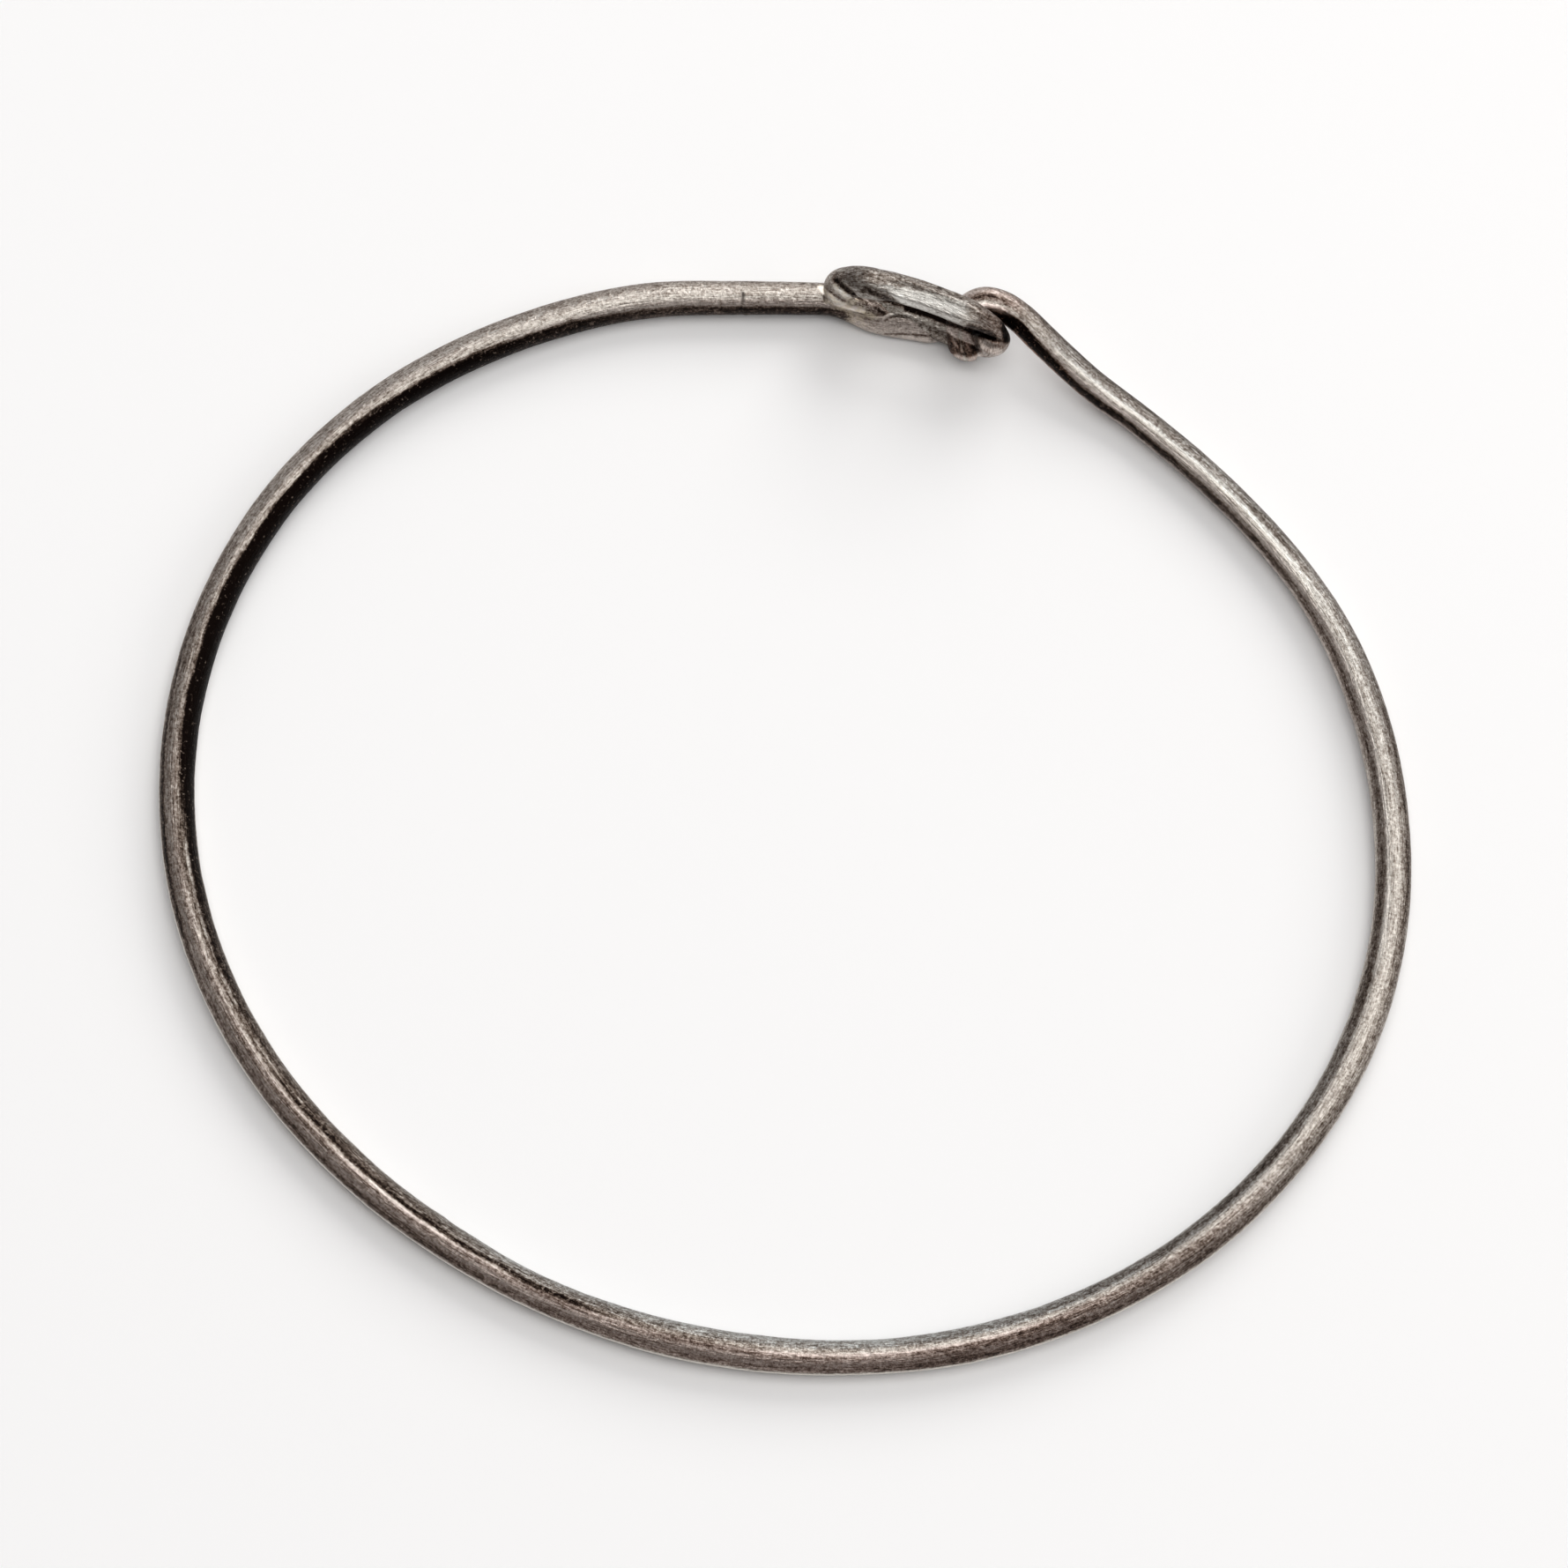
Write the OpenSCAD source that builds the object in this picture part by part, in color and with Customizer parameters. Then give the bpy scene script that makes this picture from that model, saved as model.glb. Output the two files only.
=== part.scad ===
// Knot bangle: an oval of round silver wire that lies on its side. One end of the wire is
// flattened into a tongue and soldered to a long closed eye. The other end thins to a hook
// that springs through the eye and ends in a flattened tip, bent down over its lower strand.
// +Z is up, the clasp is at +Y and the long way across the oval is along X.

/* [Wire] */
// Diameter of the wire round most of the oval
wire_d = 1.9; // [1.7:0.05:2.1]
// Diameter next to the eye, where the wire has been filed for soldering
root_d = 1.75; // [1.6:0.05:1.9]
// Diameter of the thinned shank before the hook
shank_d = 1.6; // [1.5:0.05:1.65]

/* [Oval] */
// Width across the oval between the centres of the wire
oval_w = 64.6; // [62:0.1:67]

/* [Eye] */
// Length of the eye over its wire
eye_l = 10.4; // [10.3:0.1:10.8]
// Height between the centres of the eye's two strands
eye_h = 3.5; // [3.4:0.05:3.7]
// Diameter of the wire that the eye is made of
eye_d = 1.75; // [1.65:0.05:1.8]
// How much narrower the hammered middle of the upper strand is, seen from above
eye_waist = 0.2; // [0:0.05:0.3]
// Radius of the bend that makes the eye follow the oval
eye_bend = 32; // [26:1:35]
// Lean of the eye towards the outside of the oval, in degrees
eye_lean = 1.5; // [0:0.5:3]

/* [Tongue] */
// Thickness of the flattened end at its thinnest
tongue_t = 0.8; // [0.7:0.05:1]
// Breadth of the flattened end
tongue_h = 2.0; // [1.8:0.05:2.2]
// Roll of the flattened end, so that its face looks up and inwards, in degrees
tongue_roll = 24; // [16:1:30]

/* [Hook] */
// Height of the hook's centre where it passes through the eye
hook_z = 2.68; // [2.64:0.02:2.74]
// How far the hook swings out past the eye's centre line
hook_out = 1.2; // [1.15:0.05:1.3]
// Diameter of the hook where it lies in the eye
neck_d = 1.45; // [1.35:0.05:1.45]
// Width of the flattened tip that is bent down over the lower strand
tip_w = 1.55; // [1.4:0.05:1.6]
// Thickness of that tip
tip_t = 0.5; // [0.45:0.05:0.55]

/* [Hidden] */

sides = 20;        // sides of every swept tube
turn_step = 3.6;   // degrees of the oval between two rings of points
tongue_steps = 3;  // rings from one row of the tongue to the next
hook_steps = 4;    // rings from one row of the hook to the next
end_steps = 9;     // rings round each end of the eye
side_steps = 8;    // rings along each long side of the eye
eye_lift = 0.02;   // the eye doesn't quite reach the surface
silver = [0.66, 0.62, 0.58];
solder_tint = [0.74, 0.68, 0.55];

// The oval from the eye round to the shank, counter-clockwise from above.
// Each row is one arc that starts where the last one stopped: [radius, turn in degrees]
ARCS = [
    [208, 1.5],
    [30.5, 31],
    [26, 80.5],
    [28.5, 20],
    [37, 53],
    [31, 25],
    [28, 23],
    [24.5, 36.5],
    [28, 25],
    [23.5, 15],
    [45, 11],
    [200, 0.6],
];
// Start of the first arc and its heading, from the middle of an oval 64.6 wide
START = [-6.6, 27.7];
HEADING = 195.5;
NOMINAL_W = 64.6;

// Diameter of the wire by distance from the eye: [distance, diameter]
TAPER = [
    [0, root_d],
    [8, wire_d],
    [78, wire_d],
    [84, wire_d - 0.06],
    [91, wire_d],
    [101, wire_d - 0.1],
    [108, wire_d],
    [121, wire_d + 0.06],
    [135, wire_d + 0.06],
    [143, wire_d],
    [153, wire_d],
    [159, shank_d + 0.08],
    [165, shank_d - 0.02],
    [172, shank_d + 0.02],
];

// Middle of the eye's foot, from the same middle of the oval
EYE_X = -1.2;
EYE_Y = 28.3;
EYE_TURN = -2.5;

wire_z = wire_d / 2;
eye_z = eye_d / 2 + eye_lift;
fit = oval_w / NOMINAL_W;

// The tongue's rows, from its cut end to the round wire, measured from the middle of the
// eye's foot: [along, out, height, thickness, breadth, roll]
TONGUE = [
    [1.60, -0.60, wire_z - 0.05, 0.3, tongue_h * 0.75, tongue_roll],
    [1.28, -0.60, wire_z - 0.05, tongue_t - 0.3, tongue_h * 0.85, tongue_roll],
    [0.92, -0.58, wire_z, tongue_t, tongue_h * 0.95, tongue_roll],
    [-0.20, -0.66, wire_z, tongue_t, tongue_h, tongue_roll],
    [-1.40, -0.78, wire_z, tongue_t + 0.15, tongue_h, tongue_roll],
    [-2.40, -0.77, wire_z, tongue_t + 0.4, tongue_h * 0.97, tongue_roll * 0.8],
    [-3.40, -0.56, wire_z, tongue_t + 0.7, tongue_h * 0.92, tongue_roll * 0.4],
    [-4.40, -0.44, wire_z, root_d, root_d, 0],
];

// The hook's rows, from the shank to the tip, measured the same way
HOOK = [
    [10.90, -1.34, 1.10, shank_d + 0.04, shank_d + 0.04, 0],
    [9.60, -0.87, 1.35, shank_d + 0.06, shank_d + 0.06, 0],
    [8.10, -0.22, 1.70, shank_d + 0.06, shank_d + 0.06, 0],
    [6.60, 0.48, 2.08, shank_d + 0.06, shank_d + 0.04, 0],
    [5.40, hook_out - 0.15, 2.40, shank_d + 0.04, shank_d + 0.02, 0],
    [4.30, hook_out + 0.18, hook_z - 0.08, shank_d + 0.02, shank_d, 0],
    [3.30, hook_out + 0.13, hook_z, shank_d, shank_d, 0],
    [2.66, hook_out - 0.32, hook_z, shank_d - 0.05, shank_d - 0.05, 0],
    [2.38, 0.25, hook_z - 0.02, neck_d, neck_d, 0],
    [2.36, -0.25, hook_z - 0.16, neck_d - 0.05, tip_t + 0.45, 0],
    [2.42, -0.68, hook_z - 0.38, tip_w - 0.2, tip_t + 0.2, 0],
    [2.58, -1.06, hook_z - 0.66, tip_w - 0.1, tip_t + 0.05, 0],
    [2.78, -1.35, hook_z - 0.99, tip_w, tip_t, 0],
    [2.88, -1.49, hook_z - 1.26, tip_w * 0.9, tip_t * 0.95, 0],
    [2.92, -1.56, hook_z - 1.43, tip_w * 0.65, tip_t * 0.8, 0],
    [2.94, -1.60, hook_z - 1.51, tip_w * 0.25, tip_t * 0.5, 0],
];

// The last rows of the hook keep their width along the eye
SQUARE_ROWS = 7;
ALONG_EYE = [1, -0.12, 0];

// Blobs that the bead of solder is stretched over, measured the same way:
// [along, out, height, radius]
BEAD = [
    [-4.2, -0.50, wire_z + 0.50, 0.50],
    [-2.8, -0.60, wire_z + 0.35, 0.45],
    [-2.0, -0.70, wire_z + 0.10, 0.40],
];

// One more pose than there are arcs: [x, y, heading, distance]
function poses(i = 0, at = [START[0], START[1], HEADING, 0]) =
    i == len(ARCS) ? [at] :
    let (r = ARCS[i][0], t = ARCS[i][1], h = at[2])
    concat([at], poses(i + 1, [
        at[0] + r * (sin(h + t) - sin(h)),
        at[1] - r * (cos(h + t) - cos(h)),
        h + t,
        at[3] + r * t * PI / 180,
    ]));

// Points of the oval's centre line: [x, y, z, across, tall, roll]
function oval_rows() =
    let (all = poses())
    [for (i = [0:len(ARCS) - 1])
        let (r = ARCS[i][0], t = ARCS[i][1], h = all[i][2], n = max(1, ceil(t / turn_step)))
        for (j = [(i == 0 ? 0 : 1):n])
            let (a = t * j / n, d = lookup(all[i][3] + r * a * PI / 180, TAPER))
            [(all[i][0] + r * (sin(h + a) - sin(h))) * fit,
             (all[i][1] - r * (cos(h + a) - cos(h))) * fit,
             wire_z, d, min(d, wire_d), 0]];

// Moves rows given from the eye's foot to the middle of the oval
function from_eye(rows) =
    [for (r = rows) [r[0] + EYE_X * fit, r[1] + EYE_Y * fit, r[2], r[3], r[4], r[5]]];

// A smooth curve through rows 1 to the last but one, with n steps between two rows
function smooth(rows, n) =
    [for (i = [1:len(rows) - 3]) for (j = [0:n - 1])
        let (t = j / n, p0 = rows[i - 1], p1 = rows[i], p2 = rows[i + 1], p3 = rows[i + 2])
        (2 * p1 + (p2 - p0) * t + (2 * p0 - 5 * p1 + 4 * p2 - p3) * t * t
            + (3 * p1 - p0 - 3 * p2 + p3) * t * t * t) / 2];

function place(row) = [row[0], row[1], row[2]];
function unit(v) = v / norm(v);

// Direction of a line of rows at row i
function along(rows, i, closed) =
    let (n = len(rows),
         a = closed ? (i + n - 1) % n : max(0, i - 1),
         b = closed ? (i + 1) % n : min(n - 1, i + 1))
    unit(place(rows[b]) - place(rows[a]));

// A tube through rows of [x, y, z, across, tall, roll]. Its width lies level, or along a
// row's direction in outward where it has one, and is then rolled about the line.
module sweep(rows, closed = false, outward = []) {
    n = len(rows);
    points = [for (i = [0:n - 1])
        let (t = along(rows, i, closed),
             flat = is_undef(outward[i]) ? cross([0, 0, 1], t) : outward[i],
             level = unit(flat - (flat * t) * t),
             upright = cross(t, level),
             side = level * cos(rows[i][5]) + upright * sin(rows[i][5]),
             rise = cross(t, side))
        for (k = [0:sides - 1])
            place(rows[i]) + side * cos(360 * k / sides) * rows[i][3] / 2
                + rise * sin(360 * k / sides) * rows[i][4] / 2];
    last = closed ? n - 1 : n - 2;
    skin = [for (i = [0:last]) for (k = [0:sides - 1])
        let (m = (k + 1) % sides, j = (i + 1) % n)
        [i * sides + k, j * sides + k, j * sides + m, i * sides + m]];
    ends = closed ? [] : [
        [for (k = [0:sides - 1]) k],
        [for (k = [sides - 1:-1:0]) (n - 1) * sides + k],
    ];
    polyhedron(points, concat(skin, ends), convexity = 10);
}

function tail(rows) = [for (i = [1:len(rows) - 1]) rows[i]];

// The wire's whole centre line: tongue, oval, shank and hook
function wire_rows() =
    let (oval = oval_rows(), tongue = from_eye(TONGUE), hook = from_eye(HOOK),
         n = len(oval), h = len(hook),
         first = concat([2 * tongue[0] - tongue[1]], tongue, [oval[0], oval[1]]),
         final = concat([oval[n - 2], oval[n - 1]], hook, [2 * hook[h - 1] - hook[h - 2]]))
    concat(smooth(first, tongue_steps), oval, tail(smooth(final, hook_steps)), [hook[h - 1]]);

// Round wire of the oval with its tongue and hook, whose tip lies square on the eye
module wire() {
    rows = wire_rows();
    square_from = len(rows) - 1 - (SQUARE_ROWS - 1) * hook_steps;
    color(silver) sweep(
        rows,
        outward = [for (i = [0:len(rows) - 1]) i < square_from ? undef : ALONG_EYE]
    );
}

// How far round its bend the eye has turned at a distance along it, in degrees
function eye_turn(a) = a / eye_bend * 180 / PI - EYE_TURN;

// A row of the eye's centre line at a distance along it and a height above its foot
function eye_row(a, z, d) =
    let (turn = eye_turn(a),
         x = eye_bend * (sin(turn) + sin(EYE_TURN)),
         y = eye_bend * (cos(turn) - cos(EYE_TURN)) + z * tan(eye_lean))
    [EYE_X * fit + x, EYE_Y * fit + y, eye_z + z, d, eye_d, 0];

// The eye's shape before it is bent: [distance along it, height above its foot, width]
function eye_plan() =
    let (r = eye_h / 2, half = (eye_l - eye_d) / 2 - r)
    concat(
        [for (i = [0:side_steps - 1]) let (t = i / side_steps)
            [half * (2 * t - 1), 0, eye_d]],
        [for (i = [0:end_steps - 1]) let (a = 180 * i / end_steps)
            [half + r * sin(a), r - r * cos(a), eye_d]],
        [for (i = [0:side_steps - 1]) let (t = i / side_steps)
            [half * (1 - 2 * t), eye_h, eye_d - eye_waist * sin(180 * t)]],
        [for (i = [0:end_steps - 1]) let (a = 180 * i / end_steps)
            [-half - r * sin(a), r + r * cos(a), eye_d]]
    );

// Long closed eye that the hook springs through
module eye() {
    plan = eye_plan();
    color(silver) sweep(
        [for (p = plan) eye_row(p[0], p[1], p[2])],
        closed = true,
        outward = [for (p = plan) [sin(eye_turn(p[0])), cos(eye_turn(p[0])), 0]]
    );
}

// Bead of solder that fills the corner between the wire's end and the eye
module solder() {
    color(solder_tint)
    hull()
        for (b = BEAD)
            translate([EYE_X * fit + b[0], EYE_Y * fit + b[1], b[2]]) sphere(b[3], $fn = 24);
}

// The box of the whole bangle, which sets the origin under its middle
function least(rows, k) = min([for (r = rows) r[k] - r[3] / 2]);
function most(rows, k) = max([for (r = rows) r[k] + r[3] / 2]);
ALL = wire_rows();
mid_x = (least(ALL, 0) + most(ALL, 0)) / 2;
mid_y = (least(ALL, 1) + most(ALL, 1)) / 2;

// Soldered together, the bangle is one piece of silver
module bangle() {
    translate([-mid_x, -mid_y, 0]) {
        wire();
        eye();
        solder();
    }
}

bangle();
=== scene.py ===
"""Looks of the knot bangle: an oval of round, tarnished silver wire, closed by a hook in an eye.

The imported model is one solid. Three finer pieces stand for it here: the wire with its tongue and
hook, the eye, and the solder that joins the wire to the eye. Lengths are in millimetres until a
mesh is placed, and angles are in degrees.
"""

import logging
import math
from collections.abc import Iterator
from contextlib import contextmanager
from dataclasses import dataclass
from enum import Enum

import bpy
import numpy as np
from mathutils import Matrix, Vector


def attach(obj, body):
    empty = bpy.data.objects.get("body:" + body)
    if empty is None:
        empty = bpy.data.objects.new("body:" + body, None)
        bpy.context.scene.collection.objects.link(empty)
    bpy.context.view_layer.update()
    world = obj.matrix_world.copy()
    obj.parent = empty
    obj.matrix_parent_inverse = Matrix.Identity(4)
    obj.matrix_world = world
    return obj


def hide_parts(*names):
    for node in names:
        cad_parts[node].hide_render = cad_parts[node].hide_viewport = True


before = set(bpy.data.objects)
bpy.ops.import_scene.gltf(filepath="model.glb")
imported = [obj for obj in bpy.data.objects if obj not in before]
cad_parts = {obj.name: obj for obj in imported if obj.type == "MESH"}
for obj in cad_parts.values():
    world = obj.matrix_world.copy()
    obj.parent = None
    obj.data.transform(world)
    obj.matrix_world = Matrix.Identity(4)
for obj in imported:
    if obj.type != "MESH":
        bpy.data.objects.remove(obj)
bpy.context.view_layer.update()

log = logging.getLogger("knot_bangle")

Piece = bpy.types.Object
Socket = bpy.types.NodeSocket
Colour = tuple[float, float, float]
Table = tuple[tuple[float, ...], ...]

MM = 0.001
BODY = "root"
NODE = "bangle"

# Middle of the bangle's box, measured from the point that the arcs are laid out round
MID_X, MID_Y = 0.0337, 0.6972
# Middle of the eye's foot, measured from that point, and from the middle of the box
EYE_X, EYE_Y = -1.2, 28.3
FOOT_X, FOOT_Y = EYE_X - MID_X, EYE_Y - MID_Y

# Thickness of the wire, of its root at the tongue, of the shank and of the hook's neck, then the
# width and thickness of the hook's flattened tip, and the height of the wire's middle
WIRE_D = 1.9
ROOT_D = 1.75
SHANK_D = 1.6
NECK_D = 1.45
TIP_W = 1.55
TIP_T = 0.5
WIRE_Z = WIRE_D / 2

# Height of the side of the eye's upper strand, where the marks are laid out
SIDE_Z = 4.15
# How far the sight line moves along the eye and outwards for each millimetre further down
SIGHT_ALONG, SIGHT_OUT = 0.07, -0.278
# Shoulder of the hook's tip, in the same places as the marks: along, out
SHOULDER = ((1.65, -1.17), (2.47, -1.44), (3.44, -1.53), (4.01, -1.59))


class Slot(Enum):
    """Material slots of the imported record."""

    SILVER = "silver"


class Layer(Enum):
    """Point attributes that say where each finish, and the painted shade and painted highlights, lie on
    a piece.
    """

    STOCK = "stock"
    # Tarnish together with painted shade and painted highlights: darker above 0, lighter below it
    TARNISH = "tarnish_and_painted_light"
    BLOOM = "bloom"
    SOLDER = "solder"
    HUE = "hue"


def deselect() -> None:
    """Leaves object mode's selection empty, so that an operator acts on its own piece only."""
    if bpy.context.object and bpy.context.object.mode != "OBJECT":
        bpy.ops.object.mode_set(mode="OBJECT")
    bpy.ops.object.select_all(action="DESELECT")


@contextmanager
def editing() -> Iterator[None]:
    """Goes into edit mode for some operators and comes back.

    Yields:
        Nothing.
    """
    bpy.ops.object.mode_set(mode="EDIT")
    yield
    bpy.ops.object.mode_set(mode="OBJECT")


def take(piece: Piece) -> None:
    """Selects one piece and makes it active.

    Args:
        piece: the piece.
    """
    deselect()
    piece.select_set(True)
    bpy.context.view_layer.objects.active = piece


def points_of(piece: Piece) -> np.ndarray:
    """Reads a piece's vertices.

    Args:
        piece: a mesh object.

    Returns:
        One row of x, y, z for each vertex.
    """
    co = np.zeros(len(piece.data.vertices) * 3)
    piece.data.vertices.foreach_get("co", co)
    return co.reshape(-1, 3)


def place_points(piece: Piece, points: np.ndarray) -> None:
    """Writes a piece's vertices.

    Args:
        piece: a mesh object.
        points: one row of x, y, z for each vertex, in metres.
    """
    piece.data.vertices.foreach_set("co", points.astype(np.float32).ravel())
    piece.data.update()


def write_layer(piece: Piece, layer: Layer, values: np.ndarray) -> None:
    """Keeps a value, or a vector, for each vertex as a named attribute.

    Args:
        piece: a mesh object.
        layer: which attribute.
        values: one number or one row of three for each vertex.
    """
    kind, key = ("FLOAT", "value") if values.ndim == 1 else ("FLOAT_VECTOR", "vector")
    attribute = piece.data.attributes.new(layer.value, kind, "POINT")
    attribute.data.foreach_set(key, values.astype(np.float32).ravel())


def between(rows: Table, at: np.ndarray, column: int) -> np.ndarray:
    """Reads a table of rows by distance.

    Args:
        rows: rows whose first column is a rising distance.
        at: the distances asked for.
        column: the column to read.

    Returns:
        The column's value at each distance, eased from row to row.
    """
    marks = np.array([row[0] for row in rows])
    values = np.array([row[column] for row in rows])
    i = np.clip(np.searchsorted(marks, at, side="right") - 1, 0, len(marks) - 2)
    share = np.clip((at - marks[i]) / (marks[i + 1] - marks[i]), 0, 1)
    share = share * share * (3 - 2 * share)
    return values[i] + (values[i + 1] - values[i]) * share


def rise(x: np.ndarray, low: float, high: float) -> np.ndarray:
    """A smooth step.

    Args:
        x: values.
        low: where the step starts.
        high: where it ends, which may be below low.

    Returns:
        0 before low, 1 past high and a smooth rise between.
    """
    t = np.clip((x - low) / (high - low), 0, 1)
    return t * t * (3 - 2 * t)


def band(x: np.ndarray, opening: tuple, closing: tuple) -> np.ndarray:
    """A smooth band.

    Args:
        x: values.
        opening: where it starts to rise and where it is full.
        closing: where it has gone and where it is still full.

    Returns:
        1 inside the band and 0 outside it.
    """
    return rise(x, *opening) * rise(x, *closing)


def mound(x: np.ndarray, middle: float, reach: float) -> np.ndarray:
    """A smooth bump.

    Args:
        x: values.
        middle: where the bump is highest.
        reach: how far it reaches each way.

    Returns:
        1 at the middle, 0 past the reach.
    """
    t = np.clip(np.abs(x - middle) / reach, 0, 1)
    return (1 - t * t) ** 2


def waves(at: np.ndarray, round_: np.ndarray, lengths: tuple[float, ...], seed: int) -> np.ndarray:
    """Unevenness left by hand work, as a few waves that close round the wire.

    Args:
        at: distances along the wire.
        round_: angles round it, in degrees.
        lengths: wavelengths along the wire.
        seed: number that sets the waves' phases.

    Returns:
        Values of about -1 to 1.
    """
    draw = np.random.default_rng(seed)
    total = np.zeros_like(at)
    for length in lengths:
        for turns in (0, 1, 2, 3):
            phase, lag = draw.uniform(0, 2 * np.pi, 2)
            total += np.sin(2 * np.pi * at / length + phase) * np.cos(turns * np.radians(round_) + lag)
    return total / (len(lengths) * 2)


def smooth_rows(rows: list[list[float]], steps: int) -> np.ndarray:
    """A smooth curve through rows 1 to the last but one.

    Args:
        rows: control rows.
        steps: rows made for each span.

    Returns:
        The rows of the curve.
    """
    made, table = [], np.array(rows, float)
    for i in range(1, len(table) - 2):
        before, start, end, after = table[i - 1 : i + 3]
        for t in np.arange(steps) / steps:
            made.append(
                (
                    2 * start
                    + (end - before) * t
                    + (2 * before - 5 * start + 4 * end - after) * t**2
                    + (3 * start - before - 3 * end + after) * t**3
                )
                / 2
            )
    return np.array(made)


@dataclass(frozen=True)
class Mark:
    """A crease, or a streak of darker or lighter metal, where the wires meet at the eye; many of them
    are painted shade in creases and under the strands, or painted highlights.

    Places are given along the eye and outwards from the middle of its foot, moved up the sight
    line of someone who looks down at the clasp, so that a mark runs on from one wire to the next.

    Attributes:
        path: the points that it runs through.
        reach: how far it spreads each way.
        heights: lowest and highest place that it touches.
        depth: how deep it is cut, less than 0 for a ridge.
        tarnish_and_painted_light: how much darker it is, less than 0 for a lighter one; darkening in
            creases and under the strands is painted shade, and most lighter marks are painted
            highlights.
        solder: how much of it is solder.
        fade: how much further than its reach it fades out.
        blur: how softly it ends at its lowest and highest place.
    """

    path: Table
    reach: float
    heights: tuple[float, float] = (0.0, 6.0)
    depth: float = 0.0
    tarnish_and_painted_light: float = 0.0
    solder: float = 0.0
    fade: float = 1.5
    blur: float = 0.2

    def share(self, along: np.ndarray, out: np.ndarray, z: np.ndarray) -> np.ndarray:
        """How much of the mark lies at each place.

        Args:
            along: places along the eye.
            out: places outwards.
            z: heights.

        Returns:
            1 in the middle of the mark and 0 away from it.
        """
        away = np.full(len(z), np.inf)
        for (x, y), (x_end, y_end) in zip(self.path, self.path[1:]):
            dx, dy = x_end - x, y_end - y
            run = np.clip(((along - x) * dx + (out - y) * dy) / (dx * dx + dy * dy), 0, 1)
            away = np.minimum(away, np.hypot(along - x - run * dx, out - y - run * dy))
        (low, high), soft = self.heights, self.blur
        level = band(z, (low - soft, low + soft), (high + soft, high - soft))
        return mound(away, 0, self.reach * self.fade) * level


# Heights that the marks keep to: the upper strand, the lower strand with the hook's tip, the tongue,
# and the tongue's bevelled end
UPPER, LOWER, TONGUE, BEVEL = (3, 6), (0, 3.3), (0, 2.6), (0, 2.2)

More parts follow.
